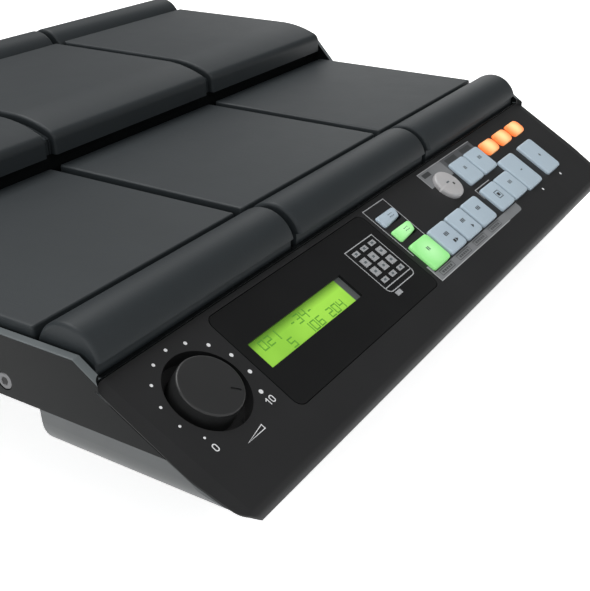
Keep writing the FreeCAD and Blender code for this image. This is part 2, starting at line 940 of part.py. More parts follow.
def panel_boss_places():
    """Bosses behind the panel, in the free places between the knob, the display and the keys: (u, v)."""
    left = cover_u[0] - panel_boss_left_gap
    return [
        (left, panel_boss_top_v),
        (left, panel_boss_bottom_v),
        (cover_u[1] - panel_boss_cover_inset, panel_boss_bottom_v),
        (play_u - play_pitch - panel_boss_middle_offset, panel_boss_middle_v),
        (value_u - value_pitch / 2, panel_boss_key_v),
        (value_u + panel_boss_right_gap, panel_boss_key_v),
    ]


def control_panel():
    """Sloping plate with a rounded front lip, the knob's well, key holes and a display pocket."""
    start_y = panel_start_y
    inner_y = front_y + panel_wall
    profile = [
        (start_y, panel_surface_z(start_y)),
        (front_y, panel_surface_z(front_y)),
        (front_y, front_lip_bottom_z),
        (inner_y, front_lip_bottom_z),
        (inner_y, panel_surface_z(inner_y, panel_wall)),
        (start_y, panel_surface_z(start_y, panel_wall)),
    ]
    sheet = side_profile(profile, (left_x, right_x))
    nose = [e for e in sheet.Edges if point_distance(e, front_y, panel_surface_z(front_y)) < 0.01]
    sheet = sheet.makeFillet(panel_nose_round, nose)
    outer = sheet.common(plan_prism(0.0))
    rim = outer.common(over_panel_plane(panel_rim_wall))
    lip = outer.common(lip_block()).common(front_profile(chin_outline(0.0), (front_y, inner_y)))
    plate = fused([rim, lip, sheet.common(inside_case_walls(fit_gap))])
    for sign in (-1, 1):
        ends = sorted((sign * (right_x - panel_rear_round), sign * (right_x + past)))
        corner = box(ends, (cheek_tip_y, start_y + past), (0, case_height))
        plate = plate.cut(corner.cut(panel_corner(sign, 0.0))).cut(on_panel(side_bevel(sign)))
    well_under = (-well_depth - well_floor, -panel_wall / 2)
    well = on_panel(upright(well_radius + well_floor, well_under, knob_u, -knob_v))
    bosses = [
        on_panel(upright(panel_boss_radius, (-board_depth_w, -panel_wall + fit_gap), u, -v))
        for u, v in panel_boss_places()
    ]
    plate = fused([plate, well] + bosses)
    through = (-panel_wall - past, past)
    cuts = [
        upright(well_radius, (-well_depth, past), knob_u, -knob_v),
        upright(pot_bush_radius + pot_bush_clearance, (pot_floor_w() - past, 0), knob_u, -knob_v),
        rounded_block(
            grown(cover_u, cover_groove),
            grown(down_slope(cover_v), cover_groove),
            (-cover_thickness, past),
            cover_corner_radius + cover_groove,
        ),
        box(
            grown(window_u, glass_margin + fit_gap),
            grown(down_slope(window_v), glass_margin + fit_gap),
            through,
        ),
    ]
    cuts += [key_outline(row, key_hole_gap, through) for row in key_rows()]
    cuts.append(round_outline(key_hole_gap, through))
    for u, v in light_guide_fields():
        cuts.append(box(grown(u, lamp_gap), grown(down_slope(v), lamp_gap), through))
    for cut in cuts:
        plate = plate.cut(on_panel(cut))
    return plate


def point_distance(edge, y, z):
    """How far the middle of an edge lies from a line along X."""
    middle = edge.CenterOfMass
    return math.hypot(middle.y - y, middle.z - z)


def side_bevel(sign):
    """What the bevel along one side of the panel takes away; it narrows towards the front."""
    block = box((-bevel_width - 2 * past, 0.0), (-2 * panel_run, panel_run), (0.0, panel_run))
    block.Placement = Placement(
        Vector(bevel_width, 0, 0),
        Rotation(Vector(0, 0, 1), bevel_taper_angle).multiply(Rotation(Vector(0, 1, 0), -bevel_angle)),
    )
    if sign > 0:
        block = block.mirror(Vector(case_width / 2, 0, 0), Vector(1, 0, 0))
    return block


def display_cover():
    """Thin plate that carries the display window and the lamp holes."""
    plate = rounded_block(cover_u, down_slope(cover_v), (-cover_thickness, 0.0), cover_corner_radius)
    through = (-cover_thickness - past, past)
    plate = plate.cut(box(window_u, down_slope(window_v), through))
    for block in lamp_blocks(lamp_gap, through):
        plate = plate.cut(block)
    return on_panel(plate)


def lcd_glass():
    pane_u = grown(window_u, glass_margin)
    pane_v = grown(down_slope(window_v), glass_margin)
    return on_panel(box(pane_u, pane_v, (-panel_wall, -cover_thickness)))


def lcd_module():
    frame = box(
        grown(window_u, lcd_frame_margin),
        grown(down_slope(window_v), lcd_frame_margin),
        (-board_depth_w, -panel_wall),
    )
    return on_panel(frame)


def indicator_lamps():
    """Light guides: a base under the cover with one block for each lamp."""
    pieces = []
    blocks = lamp_blocks(0.0, (-cover_thickness - lamp_sink, lamp_proud))
    main, single = light_guide_fields()
    for (u, v), group in ((main, blocks[:-1]), (single, blocks[-1:])):
        base = box(u, down_slope(v), (-panel_wall, -cover_thickness))
        pieces.append(on_panel(fused([base] + group)))
    return Part.makeCompound(pieces)


def panel_board():
    board = box(board_u, down_slope(board_v), (-board_depth_w - board_thickness, -board_depth_w))
    return on_panel(board)


def key_centres():
    return [(row[1], row[2]) for row in key_rows()] + [(round_key_u(), round_key_v)]


def plunger_top_w():
    return -board_depth_w + switch_height + switch_plunger_height


def tact_switches():
    """One small push switch on the board under every key."""
    switches = []
    for u, v in key_centres():
        top = -board_depth_w + switch_height
        body = box(span(u, switch_size), span(-v, switch_size), (-board_depth_w, top))
        plunger = upright(switch_plunger_radius, (top - weld, plunger_top_w()), u, -v)
        switches.append(on_panel(fused([body, plunger])))
    return Part.makeCompound(switches)


def key_foot(u, v, flange):
    """Retaining flange under the panel and the stem that reaches for the switch."""
    stem_end = plunger_top_w() + key_travel + key_stem_gap
    stem = upright(key_stem_radius, (stem_end, flange_heights()[1]), u, -v)
    return [flange, stem]


def flange_heights():
    top = -panel_wall - key_flange_gap
    return (top - key_flange_height, top)


def soften_top(shape, proud):
    edges = [e for e in shape.Edges if abs(e.CenterOfMass.z - proud) < 0.001]
    return shape.makeFillet(key_edge_round, edges)


def square_key_shape(row):
    name, u, v, width, height, radius, proud = row
    cap = soften_top(key_outline(row, 0.0, (flange_heights()[0], proud)), proud)
    flange = box(span(u, width), span(-v, height + 2 * key_flange), flange_heights())
    return on_panel(fused([cap] + key_foot(u, v, flange)))


def round_key_shape():
    cap = soften_top(round_outline(0.0, (flange_heights()[0], round_key_proud)), round_key_proud)
    flange = round_outline(key_flange, flange_heights())
    return on_panel(fused([cap] + key_foot(round_key_u(), round_key_v, flange)))


def volume_knob():
    """Plain knob with a pointer groove, on the shaft of the potentiometer."""
    foot = -well_depth + knob_floor_gap
    body = Part.makeCone(
        knob_foot_radius, knob_radius, knob_proud - foot, Vector(knob_u, -knob_v, foot), Vector(0, 0, 1)
    )
    rim = [
        e
        for e in body.Edges
        if abs(e.CenterOfMass.z - knob_proud) < 0.001 and len(e.Vertexes) == 1
    ]
    body = body.makeFillet(knob_edge_round, rim)
    groove_w = (knob_proud - pointer_depth, knob_proud + past)
    groove = box((pointer_start, pointer_end), span(0.0, pointer_width), groove_w)
    groove.Placement = Placement(
        Vector(knob_u, -knob_v, 0), Rotation(Vector(0, 0, 1), -pointer_angle)
    )
    bush_space = upright(
        pot_bush_radius + knob_bush_space, (foot - past, pot_bush_top_w() + knob_bush_space), knob_u, -knob_v
    )
    bore = upright(
        shaft_radius + push_on_clearance, (foot - past, shaft_top_w() + knob_bore_space), knob_u, -knob_v
    )
    return on_panel(body.cut(groove).cut(bush_space).cut(bore))


def shaft_top_w():
    return knob_proud - knob_top_wall


def pot_floor_w():
    return -well_depth - well_floor


def pot_bush_top_w():
    return pot_floor_w() + pot_bush_rise


def volume_pot():
    body = box(
        span(knob_u, pot_size), span(-knob_v, pot_size), (pot_floor_w() - pot_height, pot_floor_w())
    )
    bush = upright(pot_bush_radius, (pot_floor_w() - weld, pot_bush_top_w()), knob_u, -knob_v)
    bore = upright(
        shaft_radius + shaft_clearance, (pot_floor_w() - pot_height + pot_floor, 0), knob_u, -knob_v
    )
    return on_panel(fused([body, bush]).cut(bore))


def volume_shaft():
    start = pot_floor_w() - pot_height + pot_floor + shaft_end_gap
    shaft = upright(shaft_radius, (start, shaft_top_w()), knob_u, -knob_v)
    return on_panel(shaft)


def pad_foot_span(centre_x):
    """X range of a pad's lower part, which reaches under the groove towards each neighbour."""
    low, high = span(centre_x, pad_width)
    reach = (pad_gap - pad_foot_gap) / 2
    if centre_x > columns["left"]:
        low -= reach
    if centre_x < columns["right"]:
        high += reach
    return (low, high)


def bar_foot_half():
    """Half the depth of a bar's foot, which stands back from the lower edge of its round."""
    return math.sqrt(bar_radius**2 - bar_edge_rise**2) - bar_foot_inset


def bar_block(x, centre_y, centre_z, radius):
    """Half-round bar over a narrower foot, between two places along X."""
    half = math.sqrt(radius**2 - bar_edge_rise**2)
    edge_z = centre_z + bar_edge_rise
    start = Vector(x[0], centre_y - half, edge_z)
    end = Vector(x[0], centre_y + half, edge_z)
    arc = Part.Arc(start, Vector(x[0], centre_y, centre_z + radius), end).toShape()
    face = Part.Face(Part.Wire([arc, Part.makeLine(end, start)]))
    return face.extrude(Vector(x[1] - x[0], 0, 0))


def bar_pad(centre_x, centre_y, crest_z):
    """Half-round rubber bar with its foot, and a core that reaches under the grooves at its ends."""
    centre_z = crest_z - bar_radius
    bar = bar_block(span(centre_x, pad_width), centre_y, centre_z, bar_radius)
    ends = [e for e in bar.Edges if e.Curve.TypeId == "Part::GeomCircle"]
    bar = bar.makeFillet(bar_end_round, ends)
    core_x = pad_foot_span(centre_x)
    core = bar_block(core_x, centre_y, centre_z, bar_radius - pad_groove_depth)
    foot_z = (centre_z - bar_foot_below_centre, centre_z + bar_edge_rise + weld)
    foot = box(core_x, span(centre_y, 2 * bar_foot_half()), foot_z)
    return fused([bar, core, foot])


def low_pad(centre_x):
    """Flat pad with crisp edges over a wider foot."""
    y = (low_pad_front_y, low_pad_rear_y)
    foot_z = low_pad_top_z - pad_thickness
    pad = rounded_block(span(centre_x, pad_width), y, (foot_z, low_pad_top_z), pad_corner_radius)
    edges = [e for e in pad.Edges if abs(e.CenterOfMass.z - low_pad_top_z) < 0.001]
    pad = pad.makeFillet(pad_edge_round, edges)
    return fused([pad, box(pad_foot_span(centre_x), y, (foot_z, low_pad_top_z - pad_groove_depth))])


def high_pad_block(ends, depth):
    """Front-rolled pad between two places along X, with its playing face a stated depth lower."""
    x = ends[0]
    foot_z = high_pad_top_z - pad_thickness
    top_z = high_pad_top_z - depth
    roll_radius = high_pad_front_radius - depth
    nose_radius = high_pad_nose_radius - depth
    nose_y = high_pad_front_y + depth
    flat_y = high_pad_front_y + high_pad_front_run
    roll_centre = (flat_y, high_pad_top_z - high_pad_front_radius)
    reach = roll_radius - nose_radius
    nose_centre_y = nose_y + nose_radius
    nose_centre_z = roll_centre[1] + math.sqrt(reach**2 - (flat_y - nose_centre_y) ** 2)
    meet = ((nose_centre_y - flat_y) / reach, (nose_centre_z - roll_centre[1]) / reach)
    roll_end = (
        roll_centre[0] + meet[0] * roll_radius,
        roll_centre[1] + meet[1] * roll_radius,
    )
    half_turn = math.atan2(meet[0], meet[1]) / 2
    roll_mid = (
        roll_centre[0] + math.sin(half_turn) * roll_radius,
        roll_centre[1] + math.cos(half_turn) * roll_radius,
    )
    nose_turn = (math.atan2(meet[1], meet[0]) + math.pi) / 2
    nose_mid = (
        nose_centre_y + math.cos(nose_turn) * nose_radius,
        nose_centre_z + math.sin(nose_turn) * nose_radius,
    )

    def at(point):
        return Vector(x, point[0], point[1])

    nose_side = (nose_y, nose_centre_z)
    apron_low = (nose_y, high_pad_apron_bottom_z)
    apron_back = (high_pad_front_y + high_pad_apron, high_pad_apron_bottom_z)
    apron_top = (high_pad_front_y + high_pad_apron, foot_z)
    rear_low = (high_pad_rear_y, foot_z)
    rear_top = (high_pad_rear_y, top_z)
    edges = [
        Part.makeLine(at(rear_low), at(rear_top)),
        Part.makeLine(at(rear_top), at((flat_y, top_z))),
        Part.Arc(at((flat_y, top_z)), at(roll_mid), at(roll_end)).toShape(),
        Part.Arc(at(roll_end), at(nose_mid), at(nose_side)).toShape(),
        Part.makeLine(at(nose_side), at(apron_low)),
        Part.makeLine(at(apron_low), at(apron_back)),
        Part.makeLine(at(apron_back), at(apron_top)),
        Part.makeLine(at(apron_top), at(rear_low)),
    ]
    return Part.Face(Part.Wire(edges)).extrude(Vector(ends[1] - x, 0, 0))


def high_pad(centre_x):
    """Pad whose front rolls down in a long curve to a rounded nose and an apron, over a wider core."""
    ends = span(centre_x, pad_width)
    pad = high_pad_block(ends, 0.0)
    rear_corners = [
        e
        for e in pad.Edges
        if abs(e.tangentAt(e.FirstParameter).z) > 0.99 and e.CenterOfMass.y > high_pad_rear_y - 0.1
    ]
    pad = pad.makeFillet(pad_corner_radius, rear_corners)
    rim = [e for e in pad.Edges if on_high_pad_rim(e, ends[0])]
    pad = pad.makeFillet(pad_edge_round, rim)
    return fused([pad, high_pad_block(pad_foot_span(centre_x), pad_groove_depth)])


def on_high_pad_rim(edge, left):
    """True for the edges round the playing face of a high pad, down to the end of its nose."""
    middle = edge.CenterOfMass
    if middle.z > high_pad_top_z - 0.001:
        return abs(edge.tangentAt(edge.FirstParameter).x) < 0.5 or middle.y > high_pad_rear_y - 0.1
    on_side = min(abs(middle.x - left), abs(middle.x - left - pad_width)) < 0.001
    return on_side and middle.z > high_pad_apron_bottom_z and edge.Curve.TypeId == "Part::GeomCircle"


def pad_fields():
    """Foot area of every pad: middle X, (Y pair), foot height, deck height and whether it is a bar."""
    bar_half = bar_foot_half()
    front_foot = front_bar_crest_z - bar_radius - bar_foot_below_centre
    rear_foot = rear_bar_crest_z - bar_radius - bar_foot_below_centre
    high_front = high_pad_front_y + high_pad_apron
    rows = (
        ((front_bar_y - bar_half, front_bar_y + bar_half), front_foot, low_deck_top_z, True),
        ((low_pad_front_y, low_pad_rear_y), low_pad_top_z - pad_thickness, low_deck_top_z, False),
        ((high_front, high_pad_rear_y), high_pad_top_z - pad_thickness, high_deck_top_z, False),
        ((rear_bar_y - bar_half, rear_bar_y + bar_half), rear_foot, high_deck_top_z, True),
    )
    return [(x,) + row for x in columns.values() for row in rows]


def pad_plates():
    """A steel plate under every pad."""
    plates = []
    for x, y, foot_z, deck_z, is_bar in pad_fields():
        plates.append(
            box(
                grown(span(x, pad_width), -plate_margin),
                grown(y, -plate_margin),
                (foot_z - plate_thickness, foot_z),
            )
        )
    return Part.makeCompound(plates)


def plate_cushions():
    """Two foam strips between each plate and its deck."""
    strips = []
    for x, y, foot_z, deck_z, is_bar in pad_fields():
        height = (deck_z, foot_z - plate_thickness)
        plate_x = grown(span(x, pad_width), -plate_margin)
        plate_y = grown(y, -plate_margin)
        for at_end in (False, True):
            if is_bar:
                edge = plate_x[1] - cushion_width if at_end else plate_x[0]
                strips.append(box((edge, edge + cushion_width), plate_y, height))
            else:
                edge = plate_y[1] - cushion_width if at_end else plate_y[0] + fit_gap
                edge = max(edge, step_wall_y + fit_gap) if foot_z > cheek_top_z else edge
                strips.append(box(plate_x, (edge, edge + cushion_width), height))
    return Part.makeCompound(strips)


def piezo_discs():
    """A sensor disc under the middle of each plate."""
    discs = []
    for x, y, foot_z, deck_z, is_bar in pad_fields():
        radius = bar_piezo_radius if is_bar else piezo_radius
        top = foot_z - plate_thickness
        discs.append(upright(radius, (top - piezo_thickness, top), x, (y[0] + y[1]) / 2))
    return Part.makeCompound(discs)


def main_board():
    """Circuit board on the tub's stand-offs, with its larger components."""
    top = main_board_top_z
    board = box((-main_board_x, main_board_x), main_board_y, (main_board_z, top))
    pieces = [board]
    for x, from_front, width, depth, height in chip_table:
        y = span(main_board_y[0] + from_front, depth)
        pieces.append(box(span(x, width), y, (top, top + height)))
    return Part.makeCompound(pieces)


def connector_places():
    """Middle X of every rear connector by name, with equal gaps from one end of the panel to the other."""
    row = [("gain", 2 * gain_knob_radius)]
    row += [("jack_" + str(i), jack_body_width) for i in reversed(range(jack_count))]
    row += [("midi_1", midi_body), ("midi_0", midi_body)]
    row.append(("usb_flat", usb_flat_width + 2 * usb_shell))
    row.append(("usb_square", usb_square_width + 2 * usb_shell))
    row.append(("power", power_frame_width()))
    row.append(("dc", dc_body))
    half = rear_panel_half_width - rear_opening_margin
    gap = (2 * half - sum(width for name, width in row)) / (len(row) + 1)
    places = {}
    edge = -half
    for name, width in row:
        places[name] = edge + gap + width / 2
        edge += gap + width
    return places


def jack_x(index):
    return connector_places()["jack_" + str(index)]


def power_frame_width():
    return power_size + 2 * (power_frame_gap + power_frame_wall)


def rear_panel():
    """Steel plate behind the tub's rear opening, with a hole for each connector."""
    plate = box(
        (-rear_panel_half_width, rear_panel_half_width), (plate_back_y, plate_front_y), rear_panel_z
    )
    through = (plate_back_y - past, plate_front_y + past)
    place = connector_places()
    round_holes = [(jack_x(i), jack_bush_radius + bush_hole_clearance) for i in range(jack_count)]
    round_holes += [(place[name], midi_face_radius + fit_gap) for name in ("midi_0", "midi_1")]
    round_holes.append((place["dc"], dc_face_radius + fit_gap))
    round_holes.append((place["gain"], gain_bush_radius + fit_gap))
    cuts = [lying(radius, through, x, rear_axis_z) for x, radius in round_holes]
    square_holes = (
        (place["usb_square"], usb_square_width, usb_square_height, usb_shell + fit_gap),
        (place["usb_flat"], usb_flat_width, usb_flat_height, usb_shell + fit_gap),
        (place["power"], power_size, power_size, fit_gap),
    )
    for x, width, height, gap in square_holes:
        cuts.append(box(grown(span(x, width), gap), through, grown(span(rear_axis_z, height), gap)))
    for cut in cuts:
        plate = plate.cut(cut)
    return plate


def jack(index):
    """Phone jack: a body behind the plate and a threaded bush through it."""
    x = jack_x(index)
    bush_end = plate_front_y + jack_bush_proud
    body = box(
        span(x, jack_body_width),
        (plate_back_y - jack_body_length, plate_back_y),
        (main_board_top_z, rear_axis_z + jack_body_top),
    )
    bush = lying(jack_bush_radius, (plate_back_y - weld, bush_end), x, rear_axis_z)
    bore = lying(jack_bore_radius, (bush_end - jack_bore_length, bush_end + past), x, rear_axis_z)
    return fused([body, bush]).cut(bore)


def jack_group(indexes):
    return Part.makeCompound([jack(i) for i in indexes])


def hexagon_nut(x, z, y, flats, bore):
    """Hexagonal nut round a bush along Y."""
    corner = flats / math.sqrt(3)
    angles = [math.radians(60 * i + 30) for i in range(6)]
    points = [(x + corner * math.cos(a), z + corner * math.sin(a)) for a in angles]
    nut = front_profile(points, y)
    return nut.cut(lying(bore, (y[0] - past, y[1] + past), x, z))


def jack_nuts():
    y = (plate_front_y, plate_front_y + nut_height)
    bore = jack_bush_radius + nut_clearance
    nuts = [hexagon_nut(jack_x(i), rear_axis_z, y, nut_flats, bore) for i in range(jack_count)]
    return Part.makeCompound(nuts)


def midi_sockets():
    """Round five-hole sockets: a housing with a round pocket, and the insulator that stands in it."""
    solids = []
    face_y = plate_front_y + midi_face_proud
    floor_y = face_y - midi_slot_depth
    for name in ("midi_0", "midi_1"):
        x = connector_places()[name]
        body = box(
            span(x, midi_body),
            (plate_back_y - midi_body_length, plate_back_y),
            (main_board_top_z, rear_axis_z + midi_body_top),
        )
        face = lying(midi_face_radius, (plate_back_y - weld, face_y), x, rear_axis_z)
        pocket = lying(midi_slot_outer, (floor_y, face_y + past), x, rear_axis_z)
        solids.append(fused([body, face]).cut(pocket))
        core = lying(midi_slot_inner, (floor_y, face_y), x, rear_axis_z)
        for angle in midi_pin_angles:
            turn = math.radians(angle)
            pin_x = x + midi_pin_circle * math.cos(turn)
            pin_z = rear_axis_z - midi_pin_circle * math.sin(turn)
            core = core.cut(lying(midi_pin_radius, (face_y - midi_pin_depth, face_y + past), pin_x, pin_z))
        solids.append(core)
    return Part.makeCompound(solids)


def usb_socket(x, width, height, tongue_width, tongue_height):
    """Metal shell with a contact tongue inside."""
    back = plate_back_y - usb_length
    mouth = plate_front_y + usb_proud
    outer = box(grown(span(x, width), usb_shell), (back, mouth), grown(span(rear_axis_z, height), usb_shell))
    cavity = box(span(x, width), (back + usb_back, mouth + past), span(rear_axis_z, height))
    blade = box(
        span(x, tongue_width),
        (back + usb_back - weld, mouth - usb_tongue_recess),
        span(rear_axis_z, tongue_height),
    )
    foot = box(
        span(x, width),
        (back + usb_foot_inset, plate_back_y - usb_foot_inset),
        (main_board_top_z, rear_axis_z - height / 2 - usb_shell / 2),
    )
    return fused([outer.cut(cavity), blade, foot])


def usb_sockets():
    place = connector_places()
    square = usb_socket(
        place["usb_square"],
        usb_square_width,
        usb_square_height,
        usb_square_tongue_width,
        usb_square_tongue_height,
    )
    flat = usb_socket(
        place["usb_flat"], usb_flat_width, usb_flat_height, usb_flat_tongue_width, usb_flat_tongue_height
    )
    return Part.makeCompound([square, flat])


def dc_inlet():
    """Supply socket, and the centre pin that stands on the floor of its bore."""
    x = connector_places()["dc"]
    face_y = plate_front_y + dc_face_proud
    floor_y = plate_back_y - dc_length + dc_floor
    body = box(span(x, dc_body), (plate_back_y - dc_length, plate_back_y), span(rear_axis_z, dc_body))
    face = lying(dc_face_radius, (plate_back_y - weld, face_y), x, rear_axis_z)
    bore = lying(dc_bore_radius, (floor_y, face_y + past), x, rear_axis_z)
    pin = lying(dc_pin_radius, (floor_y, face_y - dc_pin_recess), x, rear_axis_z)
    return Part.makeCompound([fused([body, face]).cut(bore), pin])


def power_button():
    """Push button: a cap through the rear panel and a stem towards the switch."""
    x = connector_places()["power"]
    cap_end = plate_front_y + power_proud
    cap = box(span(x, power_size), (plate_back_y - power_cap_inside, cap_end), span(rear_axis_z, power_size))
    outer = [e for e in cap.Edges if abs(e.CenterOfMass.y - cap_end) < 0.001]
    cap = cap.makeFillet(power_edge_round, outer)
    stem_y = (power_stem_end_y(), plate_back_y - power_cap_inside + weld)
    stem = box(span(x, power_stem), stem_y, span(rear_axis_z, power_stem))
    return fused([cap, stem])


def power_stem_end_y():
    return plate_back_y - power_cap_inside - power_stem_length


def power_switch():
    """Switch behind the button, carried by a small frame on the rear panel."""
    x = connector_places()["power"]
    front = power_stem_end_y() - power_travel - power_switch_gap
    body = box(
        span(x, power_switch_size),
        (front - power_switch_length, front),
        (rear_axis_z - power_switch_low, rear_axis_z + power_switch_high),
    )
    frame_z = span(rear_axis_z, power_frame_height)
    pieces = [body, box(span(x, power_frame_width()), (front - power_bridge, front), frame_z)]
    for side in (-1, 1):
        wall_x = x + side * (power_frame_width() - power_frame_wall) / 2
        pieces.append(box(span(wall_x, power_frame_wall), (front - power_bridge, plate_back_y), frame_z))
    return fused(pieces)


def gain_knob():
    """Small knob with its own shaft."""
    x = connector_places()["gain"]
    foot = plate_front_y + gain_bush_length + gain_knob_gap
    end = foot + gain_knob_length
    body = lying(gain_knob_radius, (foot, end), x, rear_axis_z)
    rim = [e for e in body.Edges if abs(e.CenterOfMass.y - end) < 0.001]
    body = body.makeFillet(gain_edge_round, rim)
    mark = box(
        span(x, gain_mark_width),
        (end - gain_mark_depth, end + past),
        (rear_axis_z + gain_mark_start, rear_axis_z + gain_knob_radius + past),
    )
    shaft = lying(gain_shaft_radius, (plate_back_y - gain_shaft_inside, foot + weld), x, rear_axis_z)
    return fused([body.cut(mark), shaft])


def gain_pot():
    x = connector_places()["gain"]
    back = plate_back_y - gain_pot_length
    body = box(span(x, gain_pot_size), (back, plate_back_y), span(rear_axis_z, gain_pot_size))
    bush = lying(gain_bush_radius, (plate_back_y - weld, plate_front_y + gain_bush_length), x, rear_axis_z)
    bore = lying(gain_shaft_radius + shaft_clearance, (back + gain_pot_floor, rear_y), x, rear_axis_z)
    return fused([body, bush]).cut(bore)


def cord_hook():
    """Small hook between the round sockets that keeps a supply lead from pulling out."""
    place = connector_places()
    x = span((place["midi_0"] + place["midi_1"]) / 2, hook_width)
    start = plate_front_y
    end = start + hook_reach
    low = rear_panel_z[0] + hook_above_panel_edge
    arm = box(x, (start, end), (low, low + hook_thickness))
    rise = box(x, (end - hook_thickness, end), (low, low + hook_rise))
    return fused([arm, rise])


def case_screws():
    """Bottom screws and side screws."""
    screws = []
    for x, y in post_places():
        seat = tub_floor_z + screw_recess
        head = upright(screw_head_radius, (seat - screw_head_height, seat), x, y)
        shank = upright(screw_shank_radius, (seat - weld, tub_floor_z + screw_depth), x, y)
        screws.append(fused([head, shank]))
    for sign in (-1, 1):
        seat = sign * (right_x - screw_recess)
        head_end = seat + sign * screw_head_height
        tip = sign * (right_x - wall - fit_gap - ear_depth + side_screw_end_space)
        for y in side_screw_y:
            head = crosswise(screw_head_radius, sorted((seat, head_end)), y, side_screw_z)
            shank = crosswise(side_screw_shank_radius, sorted((seat, tip)), y, side_screw_z)
            screws.append(fused([head, shank]))
    return Part.makeCompound(screws)


def rubber_feet():
    feet = []
    x = tub_floor_half_width - foot_side_margin
    for sign in (-1, 1):
        for y in (front_y + foot_front_margin, rear_y - foot_rear_margin):
            foot = Part.makeCone(foot_radius - foot_taper, foot_radius, foot_height, Vector(sign * x, y, 0))
            feet.append(foot)
    return Part.makeCompound(feet)


def mount_inserts():
    """Threaded brass inserts for a stand plate, flush with the tub's underside."""
    inserts = []
    for x, y in insert_places():
        body = upright(insert_radius, (tub_floor_z, tub_floor_z + insert_length), x, y)
        thread = upright(
            insert_thread_radius, (tub_floor_z - past, tub_floor_z + insert_length + past), x, y
        )
        inserts.append(body.cut(thread))
    return Part.makeCompound(inserts)


def build():
    """Every node by name."""
    nodes = {
        "base_tub": base_tub(),
        "upper_case": upper_case(),
        "control_panel": control_panel(),
        "display_cover": display_cover(),
        "lcd_glass": lcd_glass(),
        "lcd_module": lcd_module(),
        "indicator_lamps": indicator_lamps(),
        "panel_board": panel_board(),
        "tact_switches": tact_switches(),
        "volume_knob": volume_knob(),
        "volume_shaft": volume_shaft(),
        "volume_pot": volume_pot(),
        "pad_plates": pad_plates(),
        "plate_cushions": plate_cushions(),
        "piezo_discs": piezo_discs(),
        "main_board": main_board(),
        "rear_panel": rear_panel(),
        "jack_nuts": jack_nuts(),
        "midi_sockets": midi_sockets(),
        "usb_sockets": usb_sockets(),
        "dc_inlet": dc_inlet(),
        "power_button": power_button(),
        "power_switch": power_switch(),
        "gain_knob": gain_knob(),
        "gain_pot": gain_pot(),
        "cord_hook": cord_hook(),
        "case_screws": case_screws(),
        "rubber_feet": rubber_feet(),
        "mount_inserts": mount_inserts(),
        "round_key": round_key_shape(),
    }
    for i, name in enumerate(jack_groups):
        nodes[name] = jack_group(range(i * jacks_per_group, (i + 1) * jacks_per_group))
    for row in key_rows():
        nodes[row[0]] = square_key_shape(row)
    for side, x in columns.items():
        nodes["front_bar_" + side] = bar_pad(x, front_bar_y, front_bar_crest_z)
        nodes["low_pad_" + side] = low_pad(x)
        nodes["high_pad_" + side] = high_pad(x)
        nodes["rear_bar_" + side] = bar_pad(x, rear_bar_y, rear_bar_crest_z)
    return nodes


for node, shape in build().items():
    if not shape.isValid():
        print("not valid:", node)
    shape.exportStep("parts/" + node + ".step")
    print(node, len(shape.Solids), round(shape.Volume, 1))
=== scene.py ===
"""The looks of an electronic percussion pad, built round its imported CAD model.

Places are in millimetres in the part's frame and become metres in mm(). On the sloping panel they are
(u, v, w): u runs right from the case's left edge, v down the slope from its top line, w out of its surface.
"""

import json
import math

import bmesh
import bpy
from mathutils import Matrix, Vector


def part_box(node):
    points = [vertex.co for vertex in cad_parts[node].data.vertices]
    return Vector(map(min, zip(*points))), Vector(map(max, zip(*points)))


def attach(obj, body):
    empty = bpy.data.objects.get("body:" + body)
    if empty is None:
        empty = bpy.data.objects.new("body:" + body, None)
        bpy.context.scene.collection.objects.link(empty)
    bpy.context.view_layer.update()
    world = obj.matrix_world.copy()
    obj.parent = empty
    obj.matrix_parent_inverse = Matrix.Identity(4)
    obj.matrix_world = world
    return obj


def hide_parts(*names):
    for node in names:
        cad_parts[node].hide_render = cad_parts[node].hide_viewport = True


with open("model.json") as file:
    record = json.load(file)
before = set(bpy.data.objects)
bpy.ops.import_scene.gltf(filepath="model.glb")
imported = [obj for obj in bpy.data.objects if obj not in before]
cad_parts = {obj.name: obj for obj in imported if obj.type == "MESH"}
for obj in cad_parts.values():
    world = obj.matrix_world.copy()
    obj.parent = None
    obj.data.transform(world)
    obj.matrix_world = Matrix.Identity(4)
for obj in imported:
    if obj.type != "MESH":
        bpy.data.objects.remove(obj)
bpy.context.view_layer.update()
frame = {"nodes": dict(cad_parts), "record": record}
nodes = frame["nodes"]
CASE = "case"

# Camera, solved from the photograph's straight lines
CAMERA_PLACE = (-348.770, -290.132, 217.027)
CAMERA_TURN = (62.4484, 0.5661, -57.7278)
CAMERA_LENS = 60.143
CAMERA_SENSOR = 36.0
CAMERA_SHIFT = (0.001055, 0.01327)

# Panel plane, and the heights over it of the underside, the face and the upper face of printed marks
PANEL_SLOPE = math.radians(30.24)
PANEL_TOP = (-172.5, -105.6, 61.5)
PRINT_LOW = -0.02
PRINT_HIGH = 0.03
PRINT_TOP = 0.04

# Columns of rubber surfaces; the outer ones end at these x beside the middle one, with slots this deep
PAD_WIDTH = 110.2
PAD_PITCH = 112.8
COLUMNS = {"left": -PAD_PITCH, "middle": 0.0, "right": PAD_PITCH}
PAD_INNER_END = 60.3
BAR_INNER_END = 59.2
SLOT_DEPTH = 5.5
HIGH_SLOT_DEPTH = 3.6

# Pads: rounding along their front and back, along their ends, and of their corners in plan
RUBBER_EDGE = 0.8
COLUMN_EDGE = 1.4
PAD_CORNER = 1.4

# Bars: radius, height of the lower edge over the round's middle, how far the foot stands in, rounding of the
# ends, and the least that the foot stands in under a slot
BAR_RADIUS = 13.4
BAR_EDGE_RISE = 3.3
BAR_FOOT_INSET = 2.0
BAR_END_EDGE = 1.6
BAR_LEAST_LIP = 0.05
BAR_STEPS = 44

